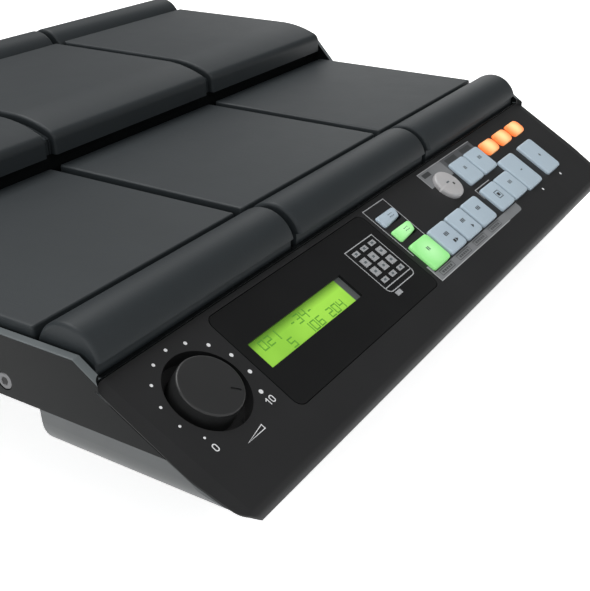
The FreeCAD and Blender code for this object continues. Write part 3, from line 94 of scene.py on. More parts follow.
# High pads: the roll down their front, the nose below it, the apron's thickness, the slab and its back edge
HIGH_PAD_ROLL_RADIUS = 60.0
HIGH_PAD_ROLL_RUN = 26.0
HIGH_PAD_NOSE_RADIUS = 4.5
HIGH_PAD_APRON = 3.2
HIGH_PAD_THICKNESS = 9.0
HIGH_PAD_BACK_EDGE = 0.6
HIGH_PAD_BACK_BEVEL = 0.1
HIGH_PAD_FLAT_STEPS = 6
HIGH_PAD_ROLL_STEPS = 24
HIGH_PAD_NOSE_STEPS = 14

# Steps of a rounded edge, the turn in degrees past which an edge is sharp, and the least cosine at a joint
EDGE_STEPS = 5
SHARP_TURN = 35.0
LEAST_MITRE = 0.4

# Keys: width, height, corner radius and rise over the panel of each kind
SQUARE_KEY = (15.45, 14.7, 1.6, 1.5)
WIDE_KEY = (17.45, 21.4, 1.8, 1.5)
SLIM_KEY = (15.25, 5.95, 1.2, 1.0)
LIT_KEY = (15.35, 7.95, 2.8, 1.0)

# Cut corner of the slim keys; dome, edge rounding and depth in the panel of all, and their dome's rings
SLIM_KEY_CUT = (2.6, 3.4)
KEY_CROWN = 0.35
KEY_EDGE = 0.9
KEY_SKIRT = 2.0
KEY_TOP_RINGS = (0.9, 0.75, 0.55, 0.3, 0.1)

# Middles of the keys in u and v, and the round key's size
ROUND_KEY = (223.125, 15.95)
ROUND_KEY_RADIUS = 7.83
ROUND_KEY_RISE = 2.2
ROUND_KEY_STEPS = 16
MODE_U = 171.175
PLAY_U = (188.425, 205.675, 222.925)
EDIT_U = (245.325, 262.175)
VALUE_U = (280.025, 306.175)
LIT_U = (280.175, 297.425, 314.675)
KEY_ROW_V = 34.55
EDIT_ROW_V = 15.4
SLIM_V = (11.775, 20.675)
VALUE_ROW_V = 32.2
LIT_ROW_V = 12.2
KEY_GROUPS = {
    "mode_key": [(MODE_U, v) + SLIM_KEY for v in SLIM_V] + [(MODE_U, KEY_ROW_V) + SQUARE_KEY],
    "edit_key": [(u, v) + SQUARE_KEY for v in (EDIT_ROW_V, KEY_ROW_V) for u in EDIT_U],
    "value_key": [(u, VALUE_ROW_V) + WIDE_KEY for u in VALUE_U],
    "play_key": [(u, KEY_ROW_V) + SQUARE_KEY for u in PLAY_U],
    "lit_key": [(u, LIT_ROW_V) + LIT_KEY for u in LIT_U],
}
KEYS = {}
for group, places in KEY_GROUPS.items():
    for number, place in enumerate(places, 1):
        KEYS[group + "_" + str(number)] = place

# Display window and lamp blocks, in u and v from low to high; the lamps' tops stand this high over the panel
WINDOW_U = (57.2, 119.25)
WINDOW_V = (19.1, 30.8)
LAMP_U = (136.3, 142.85, 149.4)
LAMP_V = (16.35, 21.3, 26.65, 31.6)
LAMP_TOP_W = 0.1
LAMP_MARK = (-0.8, -0.5, 0.8, 0.5)

# Thin printed outlines: round the lamps, and round the mode keys with its two ends
THIN_LINE = 0.42
LAMP_BOX_U = (131.7, 153.6)
LAMP_BOX_V = (13.35, 37.2)
LAMP_BOX_LINE_V = 34.6
LAMP_BOX_CORNER = 2.5
MODE_BOX_U = (161.7, 179.7)
MODE_BOX_TOP = 3.4
MODE_BOX_ENDS = (31.6, 28.0)

# Printed fields: the upper one behind the round key and edit keys, the lower one under the lower row of keys;
# a patch or bar is (left, top, right, bottom), counted along u from a key's middle where it repeats
TOP_FIELD_U = (213.0, 236.5, 270.4)
TOP_FIELD_V = (3.4, 11.8)
TOP_FIELD_STEP = 1.0
TOP_FIELD_LINE = 0.8 * THIN_LINE
EDIT_PATCH = (-5.6, 4.7, 5.6, 7.4)
ROUND_PATCH = (215.2, 4.6, 222.4, 7.0)
LOW_FIELD_U = (161.7, 252.6)
LOW_FIELD_V = (42.6, 47.1)
LOW_FIELD_CORNER = 2.2
LOW_FIELD_POST = (1.2, 4.0)
LOW_FIELD_LINE_END = 236.0
LABEL_BOX_U = (-6.0, 6.0)
LABEL_BOX_V = (43.3, 45.8)
LABEL_BOX_LINE = 0.3
LABEL_BAR = (-4.4, 44.0, -3.2, 45.1)
LABEL_BAR_STEP = 1.9
LABEL_BAR_COUNT = 5
EDIT_LINE_GAP = (0.9, 1.5)
EDIT_LINE_LEGS = (16.6, 6.0)
VALUE_DOT = (2.0, 46.55, 0.75)

# Plain numbers on the display: pitch and half size of a dot, first dot, dots to the next digit and line, and
# the w of their face and their thickness
LCD_LINES = (" 021  -34-", "    5  106 204")
LCD_DOT = 0.62
LCD_DOT_HALF = 0.42 * LCD_DOT
LCD_START = (58.4, 20.6)
LCD_STEP = (6, 9)
LCD_PRINT_W = -1.17
LCD_PRINT_DEPTH = 0.06

# Volume knob, and the dots that grow round it, with their angles in degrees
KNOB = (30.2, 23.3)
DOT_CIRCLE = 18.8
DOT_START = 143.6
DOT_STEP = 25.3
DOT_COUNT = 11
DOT_SIZES = (0.9, 1.7)

# Plain numbers beside the dial: height, width and stroke of a digit, its corners, the top stroke of a one,
# the middles of the digits of 0 and of 10, and the wedge between the two numbers
DIGIT_SIZE = (2.5, 1.5, 0.38)
DIGIT_CORNER = 0.74
ONE_STROKE = ((-0.75, 0.65), (-0.1, 0.1))
ZERO_PLACE = (15.3, 38.9)
TEN_PLACES = ((44.475, 38.6), (46.425, 38.6))
WEDGE = ((25.6, 44.4), (34.8, 44.4), (34.8, 42.7))
WEDGE_LINE = 0.32

# Marks on the keys, counted from a key's middle; a bar is (left, top, right, bottom)
SLIM_BAR = (-0.6, -0.9, 0.2, 0.8)
SLIM_BAR_STEP = 1.3
SQUARE_BAR = (-1.7, -2.2, -1.0, -0.3)
SQUARE_BAR_STEP = 1.2
SMALL_SQUARE = (-0.4, 2.6, 1.2, 4.2)
TRIANGLE = ((1.8, 2.4), (3.6, 3.4), (1.8, 4.4))
FRAME_MARK = ((-2.2, 2.2), (-2.1, 1.9), 0.2)
FRAME_LINE = 0.35
FRAME_HEART = (-1.0, -1.0, 1.0, 0.8)
DASH = (-0.9, -0.35, 0.9, 0.35)
CROSS_ARMS = ((-0.35, -0.9, 0.35, -0.35), (-0.35, 0.35, 0.35, 0.9))
ROUND_KEY_DOT = (1.9, 1.3, 0.75)
ROUND_KEY_BAR = (-2.2, -1.2, 0.2, -0.4)

# Painted highlight on the cheeks' rim, a paler colour in place of the light their dark plastic catches: where
# their faces look up, far out and above the seam
RIM_HIGHLIGHT_FACING = (0.25, 0.45)
RIM_HIGHLIGHT_X = (168.0, 168.6)
RIM_HIGHLIGHT_Z = (56.0, 57.0)
RIM_HIGHLIGHT_COLOR = (0.13, 0.145, 0.15)

# Side screws: height, places along Y, the face of their heads, and (radius, height over it) of rim and of the
# near-black plate that is painted shade for their sockets
SIDE_SCREW_Z = 50.2
SIDE_SCREW_Y = (-67.4, 110.0)
SIDE_SCREW_FACE = 172.3
SIDE_SCREW_RIM = ((1.55, 0.0), (1.65, 0.13), (1.9, 0.17), (2.5, 0.17), (2.85, 0.1), (2.95, 0.0))
SIDE_SCREW_SOCKET_SHADE = ((1.5, 0.0), (1.5, 0.03))
SCREW_RIM_SIDES = 32
SCREW_SOCKET_SHADE_SIDES = 6

# Lit keys: colour at their edge and in their middle, and strength of their light
GREEN_LIGHT = ((0.22, 0.57, 0.19), (0.33, 0.68, 0.30), 0.62)
ORANGE_LIGHT = ((0.90, 0.17, 0.03), (0.80, 0.54, 0.24), 0.72)

# Display: its green, the shade under its upper edge and where that fades, the bare strip at its right end and
# the shares of the width where it starts, the strength of its light, and its digits
LCD_COLOR = (0.235, 0.50, 0.050)
LCD_SHADE = (0.11, 0.26, 0.022)
LCD_SHADE_V = (-0.4, 3.1)
LCD_STRIP = (0.055, 0.06, 0.06)
LCD_STRIP_START = (0.935, 0.945)
LCD_GLOW = 0.55
LCD_DIGIT = (0.075, 0.24, 0.020)

# Studio: lamps with their place, aim and size in metres and power in watts
LAMPS = {
    "key_light": ((0.0, 0.8, 1.7), (0, 0, 0.05), (1.4, 1.0), 24.0),
    "fill_light": ((-0.2, -1.5, 1.1), (0, 0, 0.04), (1.4, 1.0), 5.0),
    "side_light": ((-1.3, -0.2, 0.45), (0, 0, 0.04), (1.0, 0.6), 5.0),
}

# Levels of the world, of the walls that reflections show, by their direction's y, and of the floor
WORLD_LEVEL = 0.38
BACKDROP = (
    (-1.0, 0.5), (-0.5, 0.4), (-0.15, 0.10), (0.05, 0.12),
    (0.25, 1.05), (0.45, 1.3), (0.62, 0.3), (1.0, 0.05),
)
FLOOR_GLOW = 0.74
FLOOR_REFLECTED = 0.50
FLOOR_REACH = 6.0


def mm(*values):
    """Millimetres to a vector in metres."""
    return Vector(values) / 1000


def on_panel(u, v, w=0.0):
    """A point of the sloping panel, in metres."""
    x, y, z = PANEL_TOP
    rise = math.sin(PANEL_SLOPE)
    run = math.cos(PANEL_SLOPE)
    return mm(x + u, y - v * run - w * rise, z - v * rise + w * run)


# Meshes


def mesh_object(name, points, faces, smooth=True):
    """A new object from points in metres and faces, with its faces turned outwards."""
    mesh = bpy.data.meshes.new(name)
    mesh.from_pydata([tuple(p) for p in points], [], faces)
    piece = bpy.data.objects.new(name, mesh)
    bpy.context.scene.collection.objects.link(piece)
    shape = bmesh.new()
    shape.from_mesh(mesh)
    bmesh.ops.recalc_face_normals(shape, faces=shape.faces)
    for face in shape.faces:
        face.smooth = smooth
    shape.to_mesh(mesh)
    shape.free()
    return piece


def loft(rings):
    """Points and faces of a closed skin through rings with equal numbers of points."""
    count = len(rings[0])
    points = [p for ring in rings for p in ring]
    faces = [tuple(range(count))]
    for i in range(len(rings) - 1):
        low = i * count
        high = low + count
        for j in range(count):
            k = (j + 1) % count
            faces.append((low + j, low + k, high + k, high + j))
    last = (len(rings) - 1) * count
    faces.append(tuple(reversed(range(last, last + count))))
    return points, faces


def sharpen(piece):
    """Smooth shading with hard edges where the surface turns sharply."""
    piece.data.shade_smooth()
    mesh = bmesh.new()
    mesh.from_mesh(piece.data)
    for edge in mesh.edges:
        edge.smooth = len(edge.link_faces) == 2 and edge.calc_face_angle(0) < math.radians(SHARP_TURN)
    mesh.to_mesh(piece.data)
    mesh.free()
    return piece


def quarter(steps):
    """(sine, 1 - cosine) pairs of a quarter turn, for rounding an edge."""
    turns = [math.pi / 2 * i / steps for i in range(steps + 1)]
    return [(math.sin(t), 1 - math.cos(t)) for t in turns]


def arc(middle, radius, start, end, steps):
    """(point, outward normal) pairs along an arc between two angles."""
    pairs = []
    for i in range(steps + 1):
        turn = start + (end - start) * i / steps
        normal = (math.cos(turn), math.sin(turn))
        pairs.append(((middle[0] + radius * normal[0], middle[1] + radius * normal[1]), normal))
    return pairs


def rounded_rectangle(width, height, radius, steps=6):
    """Corner points of a rounded rectangle round its middle."""
    points = []
    for i, (sx, sy) in enumerate(((1, 1), (-1, 1), (-1, -1), (1, -1))):
        cx = sx * (width / 2 - radius)
        cy = sy * (height / 2 - radius)
        for j in range(steps + 1):
            turn = math.pi / 2 * (i + j / steps)
            points.append((cx + radius * math.cos(turn), cy + radius * math.sin(turn)))
    return points


def finish(piece, material, body=CASE, replaces=None):
    """Give a piece its material and its body, and hide the node it stands for."""
    piece.data.materials.clear()
    piece.data.materials.append(material)
    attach(piece, body)
    if replaces:
        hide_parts(replaces)
    return piece


# Materials


class Shader:
    """A Principled material and short calls for its procedural detail."""

    def __init__(self, name, color, roughness, metallic=0.0, specular=0.5):
        # Blender numbers the material's own name where it is taken
        self.name = name
        self.material = bpy.data.materials.new(name)
        self.material.use_nodes = True
        self.tree = self.material.node_tree
        self.shader = self.tree.nodes["Principled BSDF"]
        self.color = color
        self.roughness = roughness
        self.shader.inputs["Base Color"].default_value = (*color, 1)
        self.shader.inputs["Roughness"].default_value = roughness
        self.shader.inputs["Metallic"].default_value = metallic
        self.shader.inputs["Specular IOR Level"].default_value = specular
        self.place = self.tree.nodes.new("ShaderNodeTexCoord").outputs["Object"]
        self.bump = None

    def node(self, kind, **values):
        made = self.tree.nodes.new(kind)
        for key, value in values.items():
            made.inputs[key].default_value = value
        return made

    def link(self, start, end):
        self.tree.links.new(start, end)

    def noise(self, scale, detail=2.0, stretch=None):
        """Noise with a number of waves per metre, drawn out along an axis by a stretch."""
        made = self.node("ShaderNodeTexNoise", Scale=scale, Detail=detail)
        start = self.place
        if stretch:
            mapping = self.node("ShaderNodeMapping", Scale=stretch)
            self.link(start, mapping.inputs["Vector"])
            start = mapping.outputs["Vector"]
        self.link(start, made.inputs["Vector"])
        return made.outputs["Fac"]

    def ramp(self, factor, low, high, start=0.3, end=0.7):
        """A colour that goes from low to high as a factor goes from start to end."""
        made = self.node("ShaderNodeValToRGB")
        made.color_ramp.elements[0].position = start
        made.color_ramp.elements[1].position = end
        made.color_ramp.elements[0].color = (*low, 1)
        made.color_ramp.elements[1].color = (*high, 1)
        self.link(factor, made.inputs["Fac"])
        return made.outputs["Color"]

    def vary_color(self, scale, amount):
        """Base colour that wanders a little round its mean."""
        low = [c * (1 - amount) for c in self.color]
        high = [c * (1 + amount) for c in self.color]
        self.link(self.ramp(self.noise(scale, 3.0), low, high), self.shader.inputs["Base Color"])
        return self

    def vary_roughness(self, scale, amount, stretch=None):
        """Roughness that wanders by an amount round its mean."""
        made = self.node("ShaderNodeMapRange")
        made.inputs["To Min"].default_value = self.roughness - amount
        made.inputs["To Max"].default_value = self.roughness + amount
        self.link(self.noise(scale, 4.0, stretch), made.inputs["Value"])
        self.link(made.outputs["Result"], self.shader.inputs["Roughness"])
        return self

    def grain(self, scale, height, detail=2.0, stretch=None):
        """Moulded texture: noise as a bump of a height in metres, over any bump that is there already."""
        made = self.node("ShaderNodeBump", Strength=1.0, Distance=height)
        self.link(self.noise(scale, detail, stretch), made.inputs["Height"])
        if self.bump:
            self.link(self.bump.outputs["Normal"], made.inputs["Normal"])
        self.bump = made
        self.link(made.outputs["Normal"], self.shader.inputs["Normal"])
        return self

    def step(self, value, start, end):
        """From nought to one as a value goes from start to end."""
        made = self.node("ShaderNodeMapRange")
        made.inputs["From Min"].default_value = start
        made.inputs["From Max"].default_value = end
        self.link(value, made.inputs["Value"])
        return made.outputs["Result"]

    def times(self, first, second):
        made = self.node("ShaderNodeMath")
        made.operation = "MULTIPLY"
        self.link(first, made.inputs[0])
        self.link(second, made.inputs[1])
        return made.outputs["Value"]

    def painted_rim_highlight(self):
        """Painted highlight: a paler top edge on the two side cheeks, where their faces look up, standing in
        for the light caught there.
        """
        axes = self.node("ShaderNodeSeparateXYZ")
        self.link(self.place, axes.inputs["Vector"])
        facing = self.node("ShaderNodeSeparateXYZ")
        geometry = self.node("ShaderNodeNewGeometry")
        self.link(geometry.outputs["True Normal"], facing.inputs["Vector"])
        aside = self.node("ShaderNodeMath")
        aside.operation = "ABSOLUTE"
        self.link(axes.outputs["X"], aside.inputs[0])
        up = self.step(facing.outputs["Z"], *RIM_HIGHLIGHT_FACING)
        out = self.step(aside.outputs["Value"], *(v / 1000 for v in RIM_HIGHLIGHT_X))
        high = self.step(axes.outputs["Z"], *(v / 1000 for v in RIM_HIGHLIGHT_Z))
        mixed = self.node("ShaderNodeMix")
        mixed.data_type = "RGBA"
        before = self.shader.inputs["Base Color"].links[0].from_socket
        self.link(self.times(self.times(up, out), high), mixed.inputs["Factor"])
        self.link(before, mixed.inputs["A"])
        mixed.inputs["B"].default_value = (*RIM_HIGHLIGHT_COLOR, 1)
        self.link(mixed.outputs["Result"], self.shader.inputs["Base Color"])
        return self

    def depth(self, weight, radius):
        """Light that passes a little way into the surface."""
        self.shader.inputs["Subsurface Weight"].default_value = weight
        self.shader.inputs["Subsurface Radius"].default_value = radius
        self.shader.inputs["Subsurface Scale"].default_value = 0.001
        return self

    def glow(self, color, strength):
        self.shader.inputs["Emission Color"].default_value = (*color, 1)
        self.shader.inputs["Emission Strength"].default_value = strength
        return self


def moulded(name, color, roughness, grain_scale=2600.0, grain_height=0.00003, amount=0.08, specular=0.5):
    """Moulded plastic: fine grain, slightly uneven colour and gloss."""
    shader = Shader(name, color, roughness, specular=specular)
    shader.vary_color(45.0, amount)
    shader.vary_roughness(60.0, 0.04)
    return shader.grain(grain_scale, grain_height)


def plated(name, color, roughness):
    """Plated or brushed metal with fine drawn lines."""
    shader = Shader(name, color, roughness, metallic=1.0)
    shader.vary_color(80.0, 0.06)
    shader.vary_roughness(300.0, 0.06, stretch=(0.05, 1.0, 1.0))
    return shader.grain(900.0, 0.00001, stretch=(0.05, 1.0, 1.0))


def lit_silicone(name, key, edge, middle, strength):
    """A lit key: brightest over its lamp, deeper in colour towards its edge."""
    shader = Shader(name, middle, 0.45)
    u, v, width, height = key[:4]
    offset = shader.node("ShaderNodeVectorMath")
    offset.operation = "SUBTRACT"
    offset.inputs[1].default_value = on_panel(u, v)
    shader.link(shader.place, offset.inputs[0])
    length = shader.node("ShaderNodeVectorMath")
    length.operation = "LENGTH"
    shader.link(offset.outputs["Vector"], length.inputs[0])
    reach = shader.step(length.outputs["Value"], 0.0, max(width, height) / 2000)
    color = shader.ramp(reach, middle, edge, 0.25, 1.0)
    shader.link(color, shader.shader.inputs["Base Color"])
    shader.link(color, shader.shader.inputs["Emission Color"])
    shader.shader.inputs["Emission Strength"].default_value = strength
    return shader.grain(1500.0, 0.00002).material


def silicone(name, color):
    """Key silicone: nearly even in colour, with a fine grain."""
    return moulded(name, color, 0.42, 1500.0, 0.00002, 0.03)


def printing_ink(name, color, amount=0.05):
    """Matt printing ink."""
    return moulded(name, color, 0.5, 2600.0, 0.000005, amount)


def pad_rubber():
    """Matt rubber with a grain drawn out along Y under a finer one."""
    shader = Shader("pad_rubber", (0.0215, 0.0265, 0.0295), 0.50, specular=0.26)
    shader.vary_color(30.0, 0.05)
    shader.vary_roughness(70.0, 0.03)
    shader.grain(1500.0, 0.00004, detail=1.0, stretch=(1.0, 0.12, 1.0))
    return shader.grain(2600.0, 0.00002, detail=1.0)


def make_materials():
    """Every finish by its name, which is the record's slot where it has one."""
    finishes = [
        # The case plastic gets a painted highlight along its cheeks' upper edge
        moulded("case_plastic", (0.0054, 0.0065, 0.0068), 0.24, 1900.0, 0.00001, specular=0.12).painted_rim_highlight(),
        # Bottom tub: black plastic given a paler colour that is painted reflection of the white floor
        moulded("tub_plastic_painted_reflection", (0.066, 0.073, 0.075), 0.32, 1900.0, 0.00001),
        moulded("panel_plastic", (0.0120, 0.0123, 0.0130), 0.42, 2600.0, 0.00002, specular=0.42),
        moulded("cover_plastic", (0.0052, 0.0054, 0.0058), 0.34, 3200.0, 0.000008, specular=0.32),
        moulded("knob_plastic", (0.020, 0.0205, 0.021), 0.40, 2600.0, 0.00002, specular=0.42),
        pad_rubber(),
        # White keys: their faint glow is painted light that makes them look brighter
        silicone("key_white", (0.39, 0.475, 0.54)).depth(0.25, (2.0, 2.0, 2.2)).glow((0.4, 0.49, 0.57), 0.14),
        silicone("key_grey", (0.46, 0.455, 0.46)).depth(0.2, (2.0, 1.8, 1.8)),
        moulded("lamp_plastic", (0.36, 0.37, 0.38), 0.4, 1800.0, 0.00001, 0.04),
        plated("frame_metal", (0.55, 0.55, 0.56), 0.32),
        plated("plate_steel", (0.50, 0.51, 0.52), 0.38),
        plated("nut_metal", (0.70, 0.69, 0.66), 0.2),
        plated("screw_steel", (0.16, 0.16, 0.165), 0.3),
        # Near black; on the side screws it is painted shade in their sockets
        moulded("recess", (0.004, 0.004, 0.004), 0.6),
        plated("sensor_brass", (0.72, 0.52, 0.22), 0.3),
        moulded("circuit_board", (0.02, 0.12, 0.05), 0.35, 500.0, 0.00003, 0.2),
        moulded("switch_plastic", (0.03, 0.03, 0.03), 0.5),
        moulded("jack_plastic", (0.02, 0.02, 0.021), 0.45),
        moulded("button_plastic", (0.028, 0.028, 0.03), 0.4),
        Shader("cushion_foam", (0.04, 0.04, 0.042), 0.9).vary_color(400.0, 0.3).grain(1200.0, 0.0002),
        Shader("foot_rubber", (0.02, 0.02, 0.02), 0.75).vary_color(60.0, 0.15).grain(1400.0, 0.00005),
        printing_ink("print_ink", (0.74, 0.75, 0.76), 0.04),
        printing_ink("print_line", (0.42, 0.43, 0.44), 0.04),
        printing_ink("print_light", (0.205, 0.213, 0.22)),
        printing_ink("print_grey", (0.095, 0.10, 0.105)),
        printing_ink("print_dark", (0.045, 0.048, 0.05)),
        printing_ink("key_symbol", (0.10, 0.12, 0.13)),
        printing_ink("key_symbol_dark", (0.02, 0.022, 0.024)),
        moulded("lcd_segment", LCD_DIGIT, 0.4, 2600.0, 0.000002, 0.03).glow(LCD_DIGIT, 0.45),
        display(),
    ]
    return {shader.name: shader.material for shader in finishes}


def display():
    """Back-lit display: green, darker under its upper edge, with a bare strip at its right end."""
    shader = Shader("display", LCD_COLOR, 0.25)
    axes = shader.node("ShaderNodeSeparateXYZ")
    shader.link(shader.place, axes.inputs["Vector"])
    down = shader.step(axes.outputs["Y"], *(on_panel(0, WINDOW_V[0] + v).y for v in LCD_SHADE_V))
    shade = shader.ramp(down, LCD_SHADE, LCD_COLOR, 0.0, 1.0)
    patches = shader.ramp(shader.noise(45.0, 1.0), (0.86, 0.88, 0.8), (1.12, 1.08, 1.1), 0.35, 0.65)
    mixed = shader.node("ShaderNodeMix")
    mixed.data_type = "RGBA"
    mixed.blend_type = "MULTIPLY"
    mixed.inputs["Factor"].default_value = 1.0
    shader.link(shade, mixed.inputs["A"])
    shader.link(patches, mixed.inputs["B"])
    along = shader.step(axes.outputs["X"], *(on_panel(u, 0).x for u in WINDOW_U))
    end = shader.ramp(along, (1, 1, 1), (0, 0, 0), *LCD_STRIP_START)
    strip = shader.node("ShaderNodeMix")
    strip.data_type = "RGBA"
    strip.inputs["A"].default_value = (*LCD_STRIP, 1)
    shader.link(end, strip.inputs["Factor"])
    shader.link(mixed.outputs["Result"], strip.inputs["B"])
    shader.link(strip.outputs["Result"], shader.shader.inputs["Base Color"])
    shader.link(strip.outputs["Result"], shader.shader.inputs["Emission Color"])
    shader.shader.inputs["Emission Strength"].default_value = LCD_GLOW
    return shader.grain(900.0, 0.000004)


MATERIALS = make_materials()


def dress_nodes():
    """Give every CAD node the material of its slot; caps replace the lit keys, whose slots have none here.
    The bottom tub then gets a paler colour, painted reflection of the white floor.
    """
    slots = {part["node"]: part["material_slot"] for part in frame["record"]["subparts"]}
    for name, piece in nodes.items():
        piece.data.materials.clear()
        piece.data.materials.append(MATERIALS.get(slots[name], MATERIALS["key_white"]))
    # Painted reflection: the bottom tub's paler colour stands in for the white floor it reflects
    nodes["base_tub"].data.materials[0] = MATERIALS["tub_plastic_painted_reflection"]


# Rubber surfaces


def pad_ends(side, inner=PAD_INNER_END):
    """X range of a pad's playing face, and of its lower part under the slots beside it."""
    low = inner if side == "right" else COLUMNS[side] - PAD_WIDTH / 2
    high = -inner if side == "left" else COLUMNS[side] + PAD_WIDTH / 2
    foot_low, foot_high = (v.x * 1000 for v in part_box("low_pad_" + side))
    return (low, high), (foot_low, foot_high)


def low_pad(side):
    """A flat pad with crisp edges over a wider foot."""
    node = "low_pad_" + side
    low, high = (v * 1000 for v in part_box(node))
    ends, foot = pad_ends(side)
    step_z = high.z - SLOT_DEPTH
    levels = [(foot, low.z, 0.0), (foot, step_z, 0.0), (ends, step_z, 0.0), (ends, high.z - RUBBER_EDGE, 0.0)]
    levels += [(ends, high.z - RUBBER_EDGE + RUBBER_EDGE * s, c) for s, c in quarter(EDGE_STEPS)[1:]]
    middle_y = (low.y + high.y) / 2
    depth = high.y - low.y
    rings = []
    for x, z, inset in levels:
        width = x[1] - x[0] - 2 * COLUMN_EDGE * inset
        plan = rounded_rectangle(width, depth - 2 * RUBBER_EDGE * inset, PAD_CORNER - RUBBER_EDGE * inset)
        rings.append([mm(sum(x) / 2 + px, middle_y + py, z) for px, py in plan])
    piece = mesh_object(node + "_rubber", *loft(rings))
    return finish(sharpen(piece), MATERIALS["pad_rubber"], replaces=node)


def swept(row, side, outline, edge, slot_depth, inner=PAD_INNER_END):
    """A rubber shape along X with rounded ends, and a core that reaches under the slots.

    The outline is a function of a depth below the playing face and gives (point, outward normal) pairs.
    """
    node = row + "_" + side
    ends, foot = pad_ends(side, inner)
    face = outline(0.0)
    core = outline(slot_depth)
    stations = []
    if foot[0] < ends[0]:
        stations += [(foot[0], core, 0.0), (ends[0], core, 0.0)]
    stations += [(ends[0] + edge * c, face, edge * (1 - s)) for s, c in quarter(EDGE_STEPS)]
    stations += [(ends[1] - edge * c, face, edge * (1 - s)) for s, c in reversed(quarter(EDGE_STEPS))]
    if foot[1] > ends[1]:
        stations += [(ends[1], core, 0.0), (foot[1], core, 0.0)]
    rings = []
    for x, profile, inset in stations:
        rings.append([mm(x, y - ny * inset, z - nz * inset) for (y, z), (ny, nz) in profile])
    piece = mesh_object(node + "_rubber", *loft(rings))
    return finish(sharpen(piece), MATERIALS["pad_rubber"], replaces=node)


def bar_pad(row, side):
    """Half-round bar whose lower edge stands out over a narrower foot."""
    low, high = (v * 1000 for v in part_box(row + "_" + side))
    centre = ((low.y + high.y) / 2, high.z - BAR_RADIUS)
    foot = math.sqrt(BAR_RADIUS**2 - BAR_EDGE_RISE**2) - BAR_FOOT_INSET

    def outline(depth):
        radius = BAR_RADIUS - depth
        rise = math.asin(BAR_EDGE_RISE / radius)
        profile = arc(centre, radius, rise, math.pi - rise, BAR_STEPS)
        reach = min(foot, radius * math.cos(rise) - BAR_LEAST_LIP)
        edge_z = centre[1] + BAR_EDGE_RISE
        for sign, z in ((-1, edge_z), (-1, low.z), (1, low.z), (1, edge_z)):
            profile.append(((centre[0] + sign * reach, z), (0.0, 0.0)))
        return profile

    return swept(row, side, outline, BAR_END_EDGE, SLOT_DEPTH, BAR_INNER_END)


def high_pad(side):
    """Flat pad whose front rolls down to a rounded nose and an apron."""
    low, high = (v * 1000 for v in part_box("high_pad_" + side))
    flat_y = low.y + HIGH_PAD_ROLL_RUN
    roll_z = high.z - HIGH_PAD_ROLL_RADIUS
    up = (0.0, 1.0)

    def outline(depth):
        top = high.z - depth
        roll = HIGH_PAD_ROLL_RADIUS - depth
        nose = HIGH_PAD_NOSE_RADIUS - depth
        nose_y = low.y + HIGH_PAD_NOSE_RADIUS
        nose_z = roll_z + math.sqrt((roll - nose) ** 2 - (flat_y - nose_y) ** 2)
        meet = math.atan2(nose_z - roll_z, nose_y - flat_y)
        edge = HIGH_PAD_BACK_EDGE
        bevel = HIGH_PAD_BACK_BEVEL
        profile = [((high.y, high.z - HIGH_PAD_THICKNESS), (0.0, 0.0)), ((high.y, top - edge), (1.0, 0.0))]
        profile += [((high.y, top - bevel), (1.0, 0.2)), ((high.y - bevel, top), (0.2, 1.0))]
        profile.append(((high.y - edge, top), up))
        for i in range(1, HIGH_PAD_FLAT_STEPS):
            share = 1 - i / HIGH_PAD_FLAT_STEPS
            profile.append(((flat_y + (high.y - flat_y) * share, top), up))
        profile += arc((flat_y, roll_z), roll, math.pi / 2, meet, HIGH_PAD_ROLL_STEPS)
        profile += arc((nose_y, nose_z), nose, meet, math.pi, HIGH_PAD_NOSE_STEPS)[1:]
        profile.append(((low.y + depth, low.z), (-1.0, 0.0)))
        profile.append(((low.y + HIGH_PAD_APRON, low.z), (0.0, 0.0)))
        profile.append(((low.y + HIGH_PAD_APRON, high.z - HIGH_PAD_THICKNESS), (0.0, 0.0)))
        return profile

    return swept("high_pad", side, outline, COLUMN_EDGE, HIGH_SLOT_DEPTH)


# Keys


def crown_height(x, y, width, height):
    """Height of a key's domed top over its flat edge."""
    across = min(abs(x) / (width / 2), 1.0)
    down = min(abs(y) / (height / 2), 1.0)
    return KEY_CROWN * (1 - across**2) * (1 - down**2)


def key_mesh(name, centre, outline, size, rise):
    """A silicone key: straight sides, a rounded edge and a low dome."""
    u, v = centre
    width, height = size
    rings = []
    levels = [(-KEY_SKIRT, 0.0), (rise - KEY_EDGE, 0.0)]
    levels += [(rise - KEY_EDGE + KEY_EDGE * s, KEY_EDGE * c) for s, c in quarter(EDGE_STEPS)[1:]]
    for w, inset in levels:
        shrink = ((width - 2 * inset) / width, (height - 2 * inset) / height)
        rings.append([on_panel(u + x * shrink[0], v - y * shrink[1], w) for x, y in outline])
    base = ((width - 2 * KEY_EDGE) / width, (height - 2 * KEY_EDGE) / height)
    for share in KEY_TOP_RINGS:
        ring = []
        for x, y in outline:
            px = x * base[0] * share
            py = y * base[1] * share
            lift = crown_height(px, py, width * base[0], height * base[1])
            ring.append(on_panel(u + px, v - py, rise + lift))
        rings.append(ring)
    return mesh_object(name, *loft(rings))


def slim_outline(width, height, radius):
    """Slim key: its lower right corner is cut off."""
    across, down = SLIM_KEY_CUT
    result = []
    for x, y in rounded_rectangle(width, height, radius):
        over = (x - (width / 2 - across)) / across + (-y - (height / 2 - down)) / down - 1
        if over > 0:
            x -= across * over / 2
            y += down * over / 2
        result.append((x, y))
    return result


def key_material(name):
    """A key's material and its slot in the record: two mode keys are lit green and three keys orange."""
    if name in ("mode_key_2", "mode_key_3"):
        return lit_silicone(name + "_lit", KEYS[name], *GREEN_LIGHT), "key_green"
    if name.startswith("lit_key"):
        return lit_silicone(name + "_lit", KEYS[name], *ORANGE_LIGHT), "key_orange"
    return MATERIALS["key_white"], "key_white"


